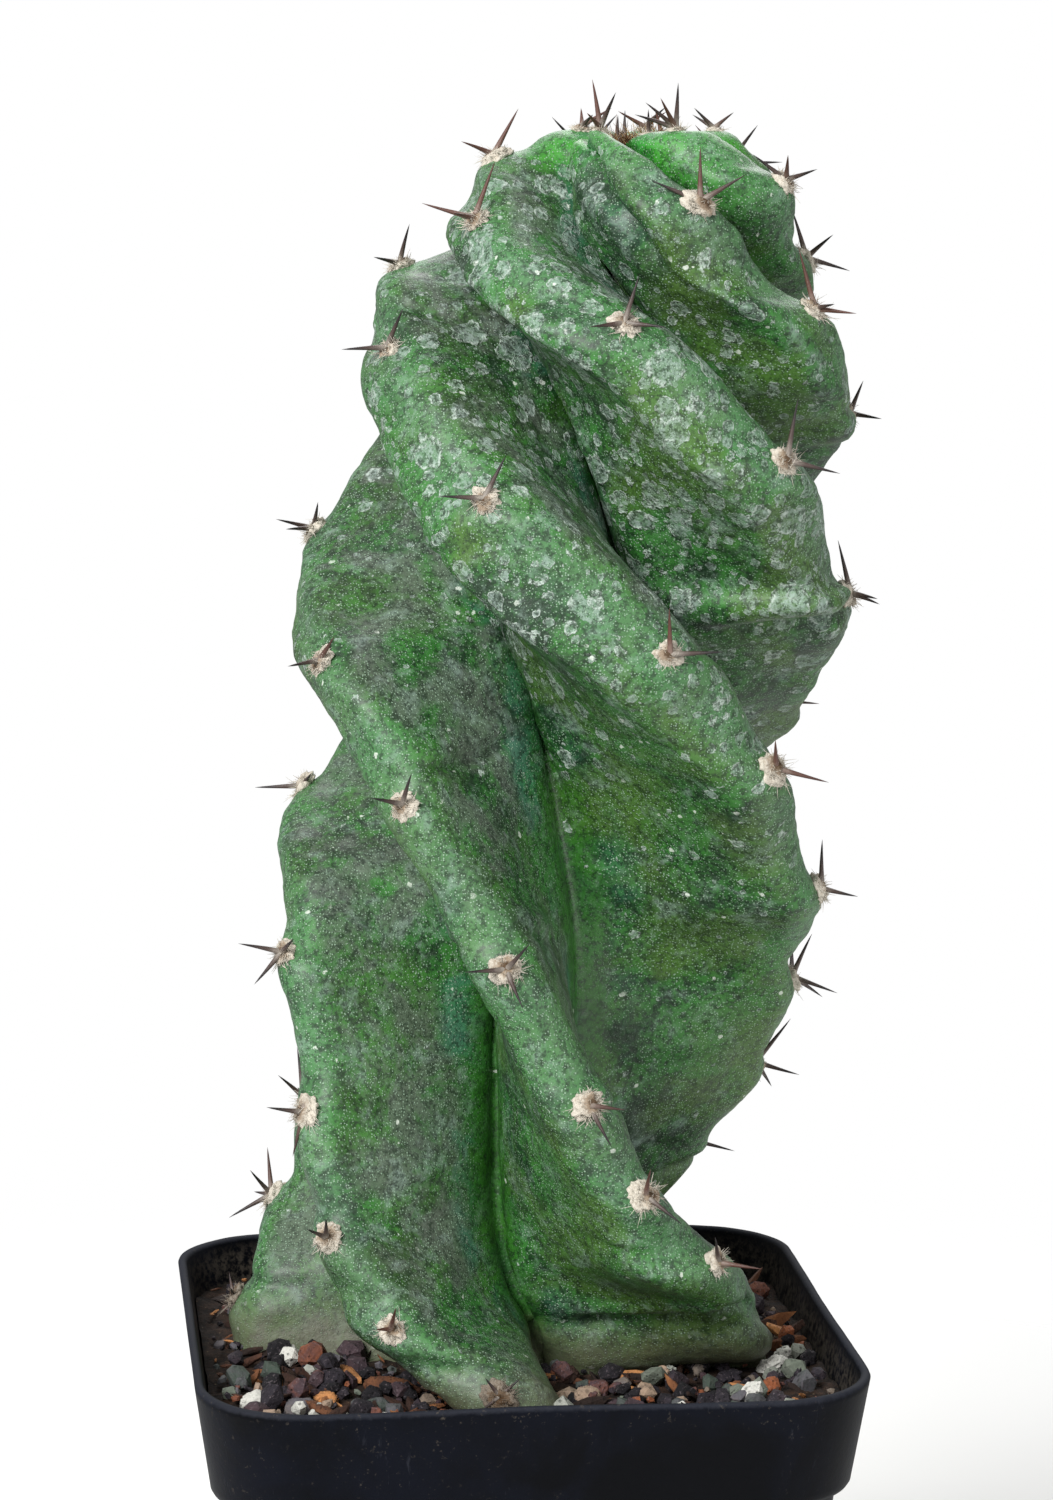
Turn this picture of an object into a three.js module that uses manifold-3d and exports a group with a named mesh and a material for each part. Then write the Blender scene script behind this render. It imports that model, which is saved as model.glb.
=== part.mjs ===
// A potted spiral columnar cactus: a square nursery pot, its soil, five spiral ribs with their
// areoles and spines, and the loose stones and bark on the soil.
// Millimetres, +Z up. The origin is the centre of the pot's underside.

import * as THREE from 'three';
import { ConvexGeometry } from 'three/addons/geometries/ConvexGeometry.js';
import { mergeVertices } from 'three/addons/utils/BufferGeometryUtils.js';
import Module from 'manifold-3d';

const wasm = await Module();
wasm.setup();

// Pot
const POT_HEIGHT = 90;
const RIM_HALF = 50;
const RIM_CORNER = 16;
const BAND_HEIGHT = 16;
const BAND_FOOT_HALF = 47.6;
const BODY_TOP_HALF = 45.6;
const BODY_FOOT_HALF = 37.5;
const POT_WALL = 1.4;
const POT_FLOOR = 1.8;
const DRAIN_RADIUS = 4;
const DRAIN_OFFSET = 20;

// Soil
const SOIL_LEVEL = 84.2;
const SOIL_BUMP = 0.54;
const CLEARANCE = 0.35;
const SOIL_TILT = 0.012;
const GRIT_COUNT = 34;
const GRIT_REACH = 44;
const GRIT_CORNER = 54;
const GRIT_MARGIN = 2.5;

// Stem
const STEM_BASE = [-3, -4];
const FRONT_TURN = THREE.MathUtils.degToRad(-6.57);
const ROOT_BOTTOM = 74;
const STEM_LEVELS = 46;
const SIDE_STEPS = [2, 1, 2];
const CAP_DEPTH = 5.2;
const CAP_LIMIT = 0.45;
const WAIST_SHARE = 0.217;
const WAIST_RADIUS = 0.55;
const SHOULDER_LIMIT = 0.62;
const WAIST_LIMIT = 0.44;
const WIDEST_GAP = 1.22;
const MAX_STRETCH = 2.2;
const TWIST_STEP = 1.5;
const STEM_TOP = 2.5;
const HOLE_STEPS = 5;
const SCALLOP = 0.9;
const SCALLOP_PHASE = 0.14;

// Crest of a rib from the growing tip down to the soil: radius from the axis, height
const CREST = [
  [0, 268.3], [4, 269.6], [8, 271.4], [12, 271.5], [16, 270], [19.5, 267.5], [22.5, 263.7],
  [24.6, 259], [27.5, 253.5], [31, 248], [34, 243], [36.3, 238], [38.4, 231], [39.8, 222],
  [40.8, 212], [41.2, 200], [41, 180], [40.8, 154], [40.3, 125], [39.7, 100], [39.3, 84],
];

// Bottom of the valley between two ribs, one point for each point of the crest
const VALLEY = [
  [0, 267.6], [1.4, 266.8], [2.2, 265.4], [2.9, 263.6], [3.6, 261.2], [4.2, 258.6], [4.9, 256],
  [5.8, 252.8], [6.8, 249.4], [7.5, 245.4], [8, 241.4], [8.4, 237], [8.7, 230.6], [9, 222],
  [9.2, 212], [9.3, 200], [9.3, 180], [9.3, 154], [9.4, 125], [10, 100], [11, 84],
];

// How far the axis leans to the right of the front view: height, offset
const LEAN = [[66, -1.5], [94, 1], [154, 7.5], [201.5, 11], [239, 16], [260, 19], [272, 20.5]];

// Half thickness of a rib at its lower shoulder, upper shoulder and waist: height, thickness
const LOWER_SHOULDER = [[60, 4.6], [165, 4.8], [200, 7.6], [280, 7.6]];
const UPPER_SHOULDER = [[60, 4.0], [280, 4.2]];
const LOWER_WAIST = [[60, 4.4], [165, 4.6], [200, 6.4], [280, 6]];
const UPPER_WAIST = 4.2;

// The five ribs in the order they follow each other round the stem. All but seen are rows or
// places by the distance down the crest from the tip.
// course: turn in degrees, extra radius. heft: factor on the thickness. belly: factor on the
// waist of the lower flank. fold: share of the way to the next rib where the crease lies.
// seen: for an areole by its number, how far each spine reaches right and up in the front view.
const RIBS = [
  {
    course: [
      [0, -140, 0], [3, -100, 0], [10.5, -45, 0], [29, 18, 0], [40, 46, -1.8], [46, 60, 0],
      [56, 80, 0], [64.5, 100, -1.2], [72, 115, -3], [81.5, 131, -2], [94.5, 151, 0],
      [109.5, 171, 0], [124.5, 190, 0], [144.5, 211, 0], [164.5, 228, 0], [179.5, 238, 0],
      [187.5, 243, 0], [199, 257, 0.6], [206, 261, 1], [210.3, 262, 1],
    ],
    heft: [[0, 0.55], [18, 0.62], [40, 1], [185, 1], [200, 1.3], [210.3, 1.4]],
    belly: [[0, 1], [30, 1.3], [64, 1.3], [110, 1], [210, 1]],
    fold: [[0, 0.5], [210, 0.5]],
    areoles: [4, 10.5, 29, 46, 64.5, 81.5, 98.5, 116.5, 136.5, 156.5, 174.5, 189, 202.5],
    seen: {
      1: [[-1, 6.9], [2.2, 5.2], [-1.9, 2.2]], 2: [[-0.1, 7.8], [-7.3, 3], [6.6, 4]],
      3: [[-2.6, 8.4], [5.6, -0.7], [2.6, 0.9]], 4: [[4.4, -0.4], [1.5, 5]],
    },
  },
  {
    course: [
      [0, -62, 0], [3, -22, 0], [9.5, 27.6, 0], [17, 45, -0.5], [25.5, 60, 1], [33, 76, 0],
      [38, 96, -1], [43.5, 120, -1], [51.5, 134, 0], [62, 148, 0], [76.5, 169, 0],
      [91.5, 192, 0], [104.5, 212, 0], [114.5, 228, 0], [120.5, 240, 0], [126.5, 258, 0],
      [134.5, 278, 0], [143.5, 291, 0], [165.5, 305, 0], [174, 311, 1.5], [183, 317, 0],
      [195, 335, 0], [203.5, 358, 0], [208, 366, 0.3], [210.3, 369, 0.3],
    ],
    heft: [[0, 1], [9, 1.2], [22, 1.2], [32, 1], [190, 1], [203, 1.15], [210.3, 1.2]],
    belly: [[0, 1], [210, 1]],
    fold: [[0, 0.5], [100, 0.5], [150, 0.38], [210, 0.38]],
    areoles: [5.5, 9.5, 25.5, 38.5, 56, 72, 89.5, 106.5, 123.5, 143.5, 165.5, 183, 195, 203.5],
    seen: {
      1: [[0.3, 6.6], [-4.4, 3.8], [-6, 2.1], [-2.4, 4.2]], 2: [[-0.1, 3.4], [-4.9, 3.4], [4, 1.5]],
      8: [[-7.1, -0.4], [1.6, 2.6]], 9: [[1.9, 2.9], [-6.2, 1.8], [-3.8, -4.4]],
      10: [[-5.3, 1.5], [-1.5, -6.6]], 11: [[0.4, 4.1], [-2.3, 2.6]], 12: [[1, 4.7], [-2, 1]],
    },
  },
  {
    course: [
      [0, 5, 0], [3, 45, 0], [10, 97, 0], [21.5, 130, 0], [30.5, 158, 0], [41, 182, 0],
      [53.5, 206, 0], [66, 226, 0], [78.5, 248, -0.8], [86.5, 268, 0], [93.5, 285, 1.2],
      [99, 300, 1], [107.5, 314, 0.8], [118, 326, 0], [140.5, 350.5, 0], [160, 369.5, 0],
      [174.5, 385, 0], [187, 405.5, 0], [194, 424, 0], [200, 442, 0.6], [206, 453, 2],
      [210.3, 456, 2],
    ],
    heft: [[0, 1], [178, 1], [188, 1.25], [195, 1.05], [203, 1.45], [210.3, 1.6]],
    belly: [[0, 1], [140, 1], [160, 1.5], [185, 1.5], [195, 1.6], [204, 2], [210, 2.1]],
    fold: [[0, 0.5], [60, 0.5], [82, 0.26], [108, 0.3], [135, 0.42], [210, 0.5]],
    areoles: [5.5, 11.5, 23, 33, 47, 64, 82.5, 99, 118, 140.5, 160, 174.5, 187],
    seen: {
      6: [[1.2, 4.4], [-5.1, 1.8], [-3.7, 0.6]], 7: [[2.6, 4.1], [-4.4, -0.3]],
      8: [[1.2, 5.1], [-4.1, 1.8]], 9: [[3.2, 4.4], [-5.9, 0.3], [2.2, -4.7]],
      10: [[5.1, 0.3], [3.2, -5.6]], 11: [[0.3, 5.1], [5.1, -3.2]], 12: [[-0.9, 5.1], [6.2, -0.3]],
    },
  },
  {
    course: [
      [0, 75, 0], [3, 115, 0], [10, 165, 0], [21.5, 200, 0], [31.5, 230, 0], [36, 238, 0],
      [39.5, 256, 2], [42.5, 269, 4], [49, 284, 2.5], [53.5, 293, 0], [73.5, 335.5, 0],
      [95, 376, 0], [113, 405, 0], [134, 435, 0], [140.5, 447, 0], [147.5, 457, -1.5],
      [154.5, 465, -0.5], [162.5, 474, 1], [170.5, 482, 1.2], [179.5, 493, 0], [188.5, 502, 0],
      [199.5, 512, 0], [210.3, 520, 0],
    ],
    heft: [[0, 1], [70, 1], [86, 1.3], [100, 1.1], [115, 1], [210.3, 1]],
    belly: [[0, 1], [60, 1.1], [80, 1.7], [110, 1.6], [130, 1.1], [210, 1]],
    fold: [[0, 0.5], [20, 0.5], [40, 0.34], [64, 0.34], [90, 0.45], [210, 0.5]],
    areoles: [6.5, 11.5, 21.5, 30.5, 41, 53.5, 73.5, 95, 113, 134, 151.5, 167.5, 182.5, 197.5],
    seen: {
      4: [[1.3, 5.9], [-3.5, 1.2]], 5: [[2.6, 5.9], [-6.2, 0]], 6: [[2.9, 6.2], [-6.6, 0.4]],
      7: [[-0.3, 6.6], [7.6, 0.4]], 8: [[-0.6, 4.7], [7.4, -2.1]], 9: [[-0.3, 7.4], [5, -0.6]],
    },
  },
  {
    course: [
      [0, 148, 0], [3, 188, 0], [10, 238, 0], [21.5, 267, 1.6], [32, 298, 1], [48, 358, 0],
      [68.5, 400, 0], [84, 428, -0.8], [90, 438, -0.5], [97.5, 457, 0], [104.5, 471, -1.5],
      [108.5, 480, -1.8], [113.5, 488, 0], [118.5, 495, 0], [129.5, 506, 0], [144.5, 519, 0],
      [164.5, 534, 0], [179.5, 545, 0], [189.5, 553, 0], [199.5, 561, 0], [210.3, 568, 0],
    ],
    heft: [[0, 1], [210.3, 1]],
    belly: [[0, 1], [28, 1.2], [45, 1.7], [85, 1.6], [115, 1.2], [210, 1]],
    fold: [[0, 0.5], [20, 0.42], [60, 0.42], [90, 0.5], [210, 0.5]],
    areoles: [5, 10.5, 21.5, 32, 48, 68.5, 90, 110.5, 130.5, 149.5, 167.5, 184.5, 199.5],
    seen: {
      2: [[3.4, 6.5], [-4.7, 2.1]], 3: [[2.9, 8.5], [-7.6, 1.8], [-2.9, 0.7]],
      4: [[2.1, 6.6], [-4.7, -0.4], [6.2, -0.3]], 5: [[1.2, 8.8], [7.4, -1.9]],
      6: [[-1.8, 7.6], [4.1, -0.9], [3.7, 0]],
    },
  },
];

// Areoles and spines
const PAD_RADIUS = 2.2;
const PAD_HEIGHT = 1.5;
const PAD_SUNK = 0.3;
const YOUNG_REACH = 12;
const YOUNG_PAD = 0.7;
const NEWEST_REACH = 9;
const NEWEST_SPINE = 4.5;
const SPINE_RADIUS = 0.5;
const SPINE_ROOT = 1.2;
const SPINE_LIFT = 0.4;
const SPINE_LENGTH = [6.5, 9];
const SEEN_SPINE_LENGTH = 6.8;
const FORESHORTENING = 1.9;
const LOW_SPINE_HEIGHT = 98;
const LOW_SPINE_LENGTH = 4;
const EXTRA_SPINE_CHANCE = 0.3;

// Loose pieces on the soil: kind, x, y, length, width, height, turn in degrees
const LOOSE = [
  ['pumice', -41, -29, 6.6, 5, 4.4, 15], ['gravel', -34, -31, 7.4, 5.6, 4.2, 0],
  ['pumice', -25, -35.5, 9.6, 3.6, 3.2, 5], ['bark', -30, -24.6, 5.6, 4, 3.2, -30],
  ['lava', -29, -18, 6.8, 5.6, 5.6, 20], ['lava', -23.6, -28, 4.6, 4.4, 4.4, 40],
  ['bark', -20, -23, 11.5, 4.6, 4.6, -28], ['bark', 4.5, -16, 6.8, 4.6, 4.6, -12],
  ['gravel', 8, -31, 6, 5, 5, 30], ['lava', 11, -23, 4.6, 4.2, 4.4, 10],
  ['bark', 16, -20.5, 5.4, 2.6, 3.6, 60], ['gravel', 21, -21, 3.8, 3.2, 3.8, 0],
  ['pumice', 23, -16.5, 3.8, 3.2, 3.4, 20], ['gravel', 27, -17, 3, 2.8, 3.2, 50],
  ['lava', 24.5, -29, 3, 2.8, 3.2, 15], ['gravel', 30, -27, 3, 2.8, 3.4, 70],
  ['gravel', 32, -32, 3.8, 3.2, 3.6, 25], ['pumice', 39, -15, 8.6, 5.2, 5, 38],
  ['pumice', 38, -6.5, 4.8, 3.6, 3.2, 10], ['gravel', 42.5, -1, 3.8, 3.2, 3.2, 80],
  ['lava', 36.8, -25.5, 3.8, 3.4, 3.8, 0], ['lava', 41.5, -24, 4.6, 4, 5, 60],
  ['pumice', 42, -35, 7, 4.2, 3.6, 28], ['gravel', 34, -38, 3.4, 2.8, 2.6, 0],
  ['lava', 44.5, -10, 3.8, 3.2, 4, 30], ['gravel', -12, 33, 6, 5, 4.4, 10],
  ['pumice', 12, 40, 6.4, 4.6, 4.2, -20], ['bark', 36, 30, 9, 4.4, 4, 50],
  ['lava', -36, 34, 6, 5, 4.6, 35], ['bark', -40, 20, 7.4, 3.8, 3.8, 80],
  ['gravel', 40, 14, 4.6, 4, 3.8, 0], ['pumice', 24, 37, 4.8, 4, 3.6, 5],
];
const LOOSE_POINTS = 12;
const LOOSE_SUNK = 0.12;
const LOOSE_GAP = 0.7;
const LOOSE_POCKET = 1.1;
const SETTLE_ROUNDS = 200;
const SETTLE_STEP = 0.25;
const PROBES = 16;
const GOLDEN_TURN = 2.4;

const SKIN = new THREE.Color(0x4a7a44);
const COLOURS = {
  pumice: new THREE.Color(0xcfccc0),
  gravel: new THREE.Color(0x98887a),
  lava: new THREE.Color(0x4e3b3a),
  bark: new THREE.Color(0x6b4630),
};

// A repeatable stream of numbers from 0 to 1
function makeRandom(seed) {
  let state = seed;
  return () => {
    state = (state + 0x6d2b79f5) | 0;
    let mixed = Math.imul(state ^ (state >>> 15), 1 | state);
    mixed = (mixed + Math.imul(mixed ^ (mixed >>> 7), 61 | mixed)) ^ mixed;
    return ((mixed ^ (mixed >>> 14)) >>> 0) / 4294967296;
  };
}

// A smooth curve through points that never overshoots them (monotone cubic)
class SmoothCurve {
  constructor(xs, ys) {
    this.xs = xs;
    this.ys = ys;
    const count = xs.length;
    const gaps = xs.slice(1).map((x, i) => x - xs[i]);
    const rises = gaps.map((gap, i) => (ys[i + 1] - ys[i]) / gap);
    this.slopes = new Array(count).fill(0);
    for (let i = 1; i < count - 1; i++) {
      if (rises[i - 1] * rises[i] > 0) {
        const before = 2 * gaps[i] + gaps[i - 1];
        const after = gaps[i] + 2 * gaps[i - 1];
        this.slopes[i] = (before + after) / (before / rises[i - 1] + after / rises[i]);
      }
    }
    this.slopes[0] = rises[0];
    this.slopes[count - 1] = rises[count - 2];
  }

  at(x) {
    const { xs, ys, slopes } = this;
    const clamped = Math.min(Math.max(x, xs[0]), xs[xs.length - 1]);
    let i = xs.length - 2;
    while (i > 0 && clamped < xs[i]) i--;
    const gap = xs[i + 1] - xs[i];
    const t = (clamped - xs[i]) / gap;
    const rest = 1 - t;
    return ys[i] * (1 + 2 * t) * rest * rest + slopes[i] * gap * t * rest * rest
      + ys[i + 1] * t * t * (3 - 2 * t) - slopes[i + 1] * gap * t * t * rest;
  }
}

const column = (rows, index) => rows.map((row) => row[index]);
const curveOf = (rows, index = 1) => new SmoothCurve(column(rows, 0), column(rows, index));

// Distance down the crest from the growing tip to each point of CREST
const CREST_REACH = [0];
for (let i = 1; i < CREST.length; i++) {
  const step = Math.hypot(CREST[i][0] - CREST[i - 1][0], CREST[i][1] - CREST[i - 1][1]);
  CREST_REACH.push(CREST_REACH[i - 1] + step);
}
const FULL_REACH = CREST_REACH[CREST_REACH.length - 1];

const crestRadius = new SmoothCurve(CREST_REACH, column(CREST, 0));
const crestHeight = new SmoothCurve(CREST_REACH, column(CREST, 1));
const valleyRadius = new SmoothCurve(CREST_REACH, column(VALLEY, 0));
const valleyHeight = new SmoothCurve(CREST_REACH, column(VALLEY, 1));
const lean = curveOf(LEAN);
const lowerShoulder = curveOf(LOWER_SHOULDER);
const upperShoulder = curveOf(UPPER_SHOULDER);
const lowerWaist = curveOf(LOWER_WAIST);
const ribs = RIBS.map((rib) => ({
  turn: curveOf(rib.course),
  swell: curveOf(rib.course, 2),
  heft: curveOf(rib.heft),
  belly: curveOf(rib.belly),
  fold: curveOf(rib.fold),
  areoles: rib.areoles,
  seen: rib.seen,
}));

// The crest swells round each areole and draws in between them
function scallop(rib, reach) {
  const marks = [0, ...rib.areoles, rib.areoles[rib.areoles.length - 1] + 22];
  let i = marks.length - 2;
  while (i > 0 && reach < marks[i]) i--;
  const gap = marks[i + 1] - marks[i];
  const grown = THREE.MathUtils.clamp((reach - 8) / 12, 0, 1);
  const size = grown * THREE.MathUtils.clamp(gap / 22, 0.5, 1.2);
  return SCALLOP * size * Math.cos(2 * Math.PI * ((reach - marks[i]) / gap - SCALLOP_PHASE));
}

const ribRadius = (rib, reach) => crestRadius.at(reach) + rib.swell.at(reach) + scallop(rib, reach);
const ribTurn = (rib, reach) => THREE.MathUtils.degToRad(rib.turn.at(reach));

// A point at a radius and turn round the leaning axis
function place(radius, turn, height) {
  const away = lean.at(height);
  return new THREE.Vector3(
    STEM_BASE[0] + away * Math.cos(FRONT_TURN) + radius * Math.sin(turn + FRONT_TURN),
    STEM_BASE[1] + away * Math.sin(FRONT_TURN) - radius * Math.cos(turn + FRONT_TURN),
    height,
  );
}

// How fast a rib turns, in radians for each millimetre down the crest
function twistOf(rib, reach) {
  const [above, below] = [Math.max(reach - TWIST_STEP, 0), reach + TWIST_STEP];
  return Math.abs(ribTurn(rib, below) - ribTurn(rib, above)) / (below - above);
}

// One side of a rib in a level cut, from its crest to the crease: radius, turn, share of the rise
function ribSide(crest, core, gap, shoulder, waist, twist) {
  const spread = Math.tan(Math.min(gap, WIDEST_GAP));
  const stretch = (radius) => Math.sqrt(1 + Math.min((radius * twist) ** 2, MAX_STRETCH));
  const wide = Math.min(shoulder * stretch(crest), SHOULDER_LIMIT * crest * spread);
  const narrow = Math.min(waist * stretch(WAIST_RADIUS * crest), WAIST_LIMIT * crest * spread);
  const cap = Math.min(CAP_DEPTH, CAP_LIMIT * crest);
  const valley = [core * Math.cos(gap), core * Math.sin(gap)];
  const waistAt = valley[0] + WAIST_SHARE * (crest - cap - valley[0]);
  const run = (valley[1] - narrow) / Math.cos(gap);
  const bend = [valley[0] + run * Math.sin(gap), narrow];
  const [capSteps, flankSteps, filletSteps] = SIDE_STEPS;
  const points = [];
  for (let i = 0; i < capSteps; i++) {
    const t = (Math.PI / 2) * (i / capSteps);
    points.push([crest - cap * (1 - Math.cos(t)), wide * Math.sin(t)]);
  }
  for (let i = 0; i < flankSteps; i++) {
    const s = i / flankSteps;
    const eased = narrow < wide ? s * s * (3 - 2 * s) : s;
    points.push([crest - cap + (waistAt - crest + cap) * s, wide + (narrow - wide) * eased]);
  }
  for (let i = 0; i <= filletSteps; i++) {
    const s = i / filletSteps;
    const [a, b, c] = [(1 - s) ** 2, 2 * s * (1 - s), s * s];
    points.push([a * waistAt + b * bend[0] + c * valley[0], a * narrow + b * bend[1] + c * valley[1]]);
  }
  return points.map(([out, across]) => {
    const radius = Math.hypot(out, across);
    const share = THREE.MathUtils.clamp((radius - core) / (crest - core), 0, 1);
    return [radius, Math.min(Math.atan2(across, out), gap), share];
  });
}

// One closed ring of stem points at a distance down the crest, wider by a margin where asked
function stemRing(reach, margin = 0) {
  const core = valleyRadius.at(reach) + margin;
  const [top, low] = [crestHeight.at(reach), valleyHeight.at(reach)];
  const points = [];
  ribs.forEach((rib, index) => {
    const next = ribs[(index + 1) % ribs.length];
    const turn = ribTurn(rib, reach);
    const nextTurn = ribTurn(next, reach) + (index + 1 === ribs.length ? 2 * Math.PI : 0);
    const gap = nextTurn - turn;
    const fold = rib.fold.at(reach) * gap;
    const upper = ribSide(
      ribRadius(rib, reach) + margin, core, fold,
      upperShoulder.at(top) * rib.heft.at(reach) + margin,
      UPPER_WAIST + margin, twistOf(rib, reach),
    );
    const lower = ribSide(
      ribRadius(next, reach) + margin, core, gap - fold,
      lowerShoulder.at(top) * next.heft.at(reach) + margin,
      lowerWaist.at(top) * next.belly.at(reach) + margin, twistOf(next, reach),
    );
    upper.forEach(([radius, offset, share]) => {
      points.push(place(radius, turn + offset, low + (top - low) * share));
    });
    lower.slice(1, -1).reverse().forEach(([radius, offset, share]) => {
      points.push(place(radius, nextTurn - offset, low + (top - low) * share));
    });
  });
  return points;
}

// A closed solid through rings of equal length, from the first ring to the last, with flat or
// pointed ends; the rings run anticlockwise seen from the last one
function loft(rings, firstTip, lastTip) {
  const count = rings[0].length;
  const vertices = [...rings.flat(), firstTip, lastTip];
  const faces = [];
  const first = rings.length * count;
  for (let j = 0; j < count; j++) {
    const k = (j + 1) % count;
    faces.push(first, k, j);
    for (let i = 0; i + 1 < rings.length; i++) {
      const [a, b, c, d] = [i * count + j, i * count + k, (i + 1) * count + k, (i + 1) * count + j];
      const straight = vertices[a].distanceTo(vertices[c]) <= vertices[b].distanceTo(vertices[d]);
      faces.push(...(straight ? [a, b, c, a, c, d] : [a, b, d, b, c, d]));
    }
    const last = (rings.length - 1) * count;
    faces.push(first + 1, last + j, last + k);
  }
  const geometry = new THREE.BufferGeometry().setFromPoints(vertices);
  geometry.setIndex(faces);
  return geometry;
}

function toSolid(geometry) {
  const bare = geometry.clone();
  bare.deleteAttribute('normal');
  bare.deleteAttribute('uv');
  const merged = mergeVertices(bare, 1e-4);
  return new wasm.Manifold(new wasm.Mesh({
    numProp: 3,
    vertProperties: new Float32Array(merged.attributes.position.array),
    triVerts: new Uint32Array(merged.index.array),
  }));
}

// The largest connected body of a solid, as a geometry
function toGeometry(solid) {
  const bodies = solid.decompose().sort((one, other) => other.volume() - one.volume());
  const mesh = bodies[0].getMesh();
  const positions = new Float32Array(mesh.numVert * 3);
  for (let i = 0; i < mesh.numVert; i++) {
    positions.set(mesh.vertProperties.slice(i * mesh.numProp, i * mesh.numProp + 3), i * 3);
  }
  const geometry = new THREE.BufferGeometry();
  geometry.setAttribute('position', new THREE.BufferAttribute(positions, 3));
  geometry.setIndex(Array.from(mesh.triVerts));
  return geometry;
}

// Outline of a square with round corners, anticlockwise seen from above
function squareRing(half, corner, height, arcSteps, edgeSteps = 1) {
  const middle = new THREE.Vector2();
  const inner = half - corner;
  const outline = [];
  for (let side = 0; side < 4; side++) {
    const angle = side * (Math.PI / 2);
    const centre = new THREE.Vector2(inner, inner).rotateAround(middle, angle);
    for (let i = 0; i <= arcSteps; i++) {
      const t = angle + (Math.PI / 2) * (i / arcSteps);
      outline.push(new THREE.Vector2(Math.cos(t), Math.sin(t)).multiplyScalar(corner).add(centre));
    }
    const from = outline[outline.length - 1];
    const to = new THREE.Vector2(half, inner).rotateAround(middle, angle + Math.PI / 2);
    for (let i = 1; i < edgeSteps; i++) outline.push(from.clone().lerp(to, i / edgeSteps));
  }
  return outline.map(({ x, y }) => new THREE.Vector3(x, y, height));
}

// Half width of the pot's cavity at a height, and the corner radius that goes with it
const CAVITY = [
  [POT_FLOOR, BODY_FOOT_HALF - POT_WALL + 0.2],
  [POT_HEIGHT - BAND_HEIGHT - 2, BODY_TOP_HALF - POT_WALL],
  [POT_HEIGHT - BAND_HEIGHT + 2, BAND_FOOT_HALF - POT_WALL],
  [POT_HEIGHT, RIM_HALF - POT_WALL],
];
function cavityHalf(z) {
  const i = Math.max(CAVITY.findLastIndex(([height], k) => height <= z && k < CAVITY.length - 1), 0);
  const [[z0, half0], [z1, half1]] = [CAVITY[i], CAVITY[i + 1]];
  return THREE.MathUtils.mapLinear(z, z0, z1, half0, half1);
}
const cornerOf = (half) => RIM_CORNER * (half / RIM_HALF);

// A square shell with a deeper top band, thin walls and four drain holes
function makePot() {
  const bandFoot = POT_HEIGHT - BAND_HEIGHT;
  const outside = [
    [BODY_FOOT_HALF - 0.8, 0], [BODY_FOOT_HALF, 1.2], [BODY_TOP_HALF, bandFoot - 1.6],
    [BAND_FOOT_HALF - 0.4, bandFoot - 0.8], [BAND_FOOT_HALF, bandFoot],
    [RIM_HALF, POT_HEIGHT - 0.5], [RIM_HALF - 0.4, POT_HEIGHT],
  ];
  const inside = [POT_HEIGHT, bandFoot + 2, bandFoot - 2, POT_FLOOR].map((z) => [cavityHalf(z), z]);
  const rings = [...outside, ...inside].map(([half, z]) => squareRing(half, cornerOf(half), z, 5));
  const shell = loft(rings, new THREE.Vector3(0, 0, 0), new THREE.Vector3(0, 0, POT_FLOOR));
  let solid = toSolid(shell);
  for (const [x, y] of [[1, 1], [-1, 1], [-1, -1], [1, -1]]) {
    const drain = new THREE.CylinderGeometry(DRAIN_RADIUS, DRAIN_RADIUS, 3 * POT_FLOOR, 16);
    drain.rotateX(Math.PI / 2).translate(x * DRAIN_OFFSET, y * DRAIN_OFFSET, POT_FLOOR / 2);
    solid = solid.subtract(toSolid(drain));
  }
  return toGeometry(solid);
}

// The ribs above the soil and a straight-sided root below it
function makeStemBody(margin = 0, top = STEM_TOP, levels = STEM_LEVELS) {
  const rings = [];
  for (let i = levels - 1; i >= 0; i--) {
    rings.push(stemRing(top + (FULL_REACH - top) * (i / (levels - 1)), margin));
  }
  const root = rings[0].map(({ x, y }) => new THREE.Vector3(x, y, ROOT_BOTTOM - margin));
  const tipHeight = top > CREST_REACH[1] ? crestHeight.at(top) : CREST[0][1];
  const rootTip = place(0, 0, crestHeight.at(FULL_REACH)).setZ(ROOT_BOTTOM - margin);
  return toSolid(loft([root, ...rings], rootTip, place(0, 0, tipHeight)));
}

// The frame of a rib's crest: the point, the way down the rib, the way out and the way across
function crestFrame(rib, reach) {
  const pointAt = (at) => place(ribRadius(rib, at), ribTurn(rib, at), crestHeight.at(at));
  const turn = ribTurn(rib, reach) + FRONT_TURN;
  const down = pointAt(reach + 0.6).sub(pointAt(Math.max(reach - 0.6, 0))).normalize();
  const around = new THREE.Vector3(Math.cos(turn), Math.sin(turn), 0);
  const out = down.clone().cross(around).normalize();
  return { point: pointAt(reach), down, out, across: out.clone().cross(down) };
}

// A low woolly pad that sits on the crest
function makePad({ point, down, out, across }, size) {
  const pad = new THREE.SphereGeometry(1, 6, 3);
  pad.scale(size * PAD_RADIUS, size * PAD_HEIGHT, size * PAD_RADIUS);
  pad.applyMatrix4(new THREE.Matrix4().makeBasis(across, out, down));
  const middle = point.clone().addScaledVector(out, -PAD_SUNK);
  return pad.translate(middle.x, middle.y, middle.z);
}

// A three-sided spine from inside the pad to its tip
function makeSpine({ point, out }, direction, length) {
  const spine = new THREE.ConeGeometry(SPINE_RADIUS, length + SPINE_ROOT, 3);
  spine.translate(0, (length + SPINE_ROOT) / 2 - SPINE_ROOT, 0);
  const upright = new THREE.Vector3(0, 1, 0);
  spine.applyQuaternion(new THREE.Quaternion().setFromUnitVectors(upright, direction));
  const foot = point.clone().addScaledVector(out, SPINE_LIFT);
  return spine.translate(foot.x, foot.y, foot.z);
}

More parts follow.
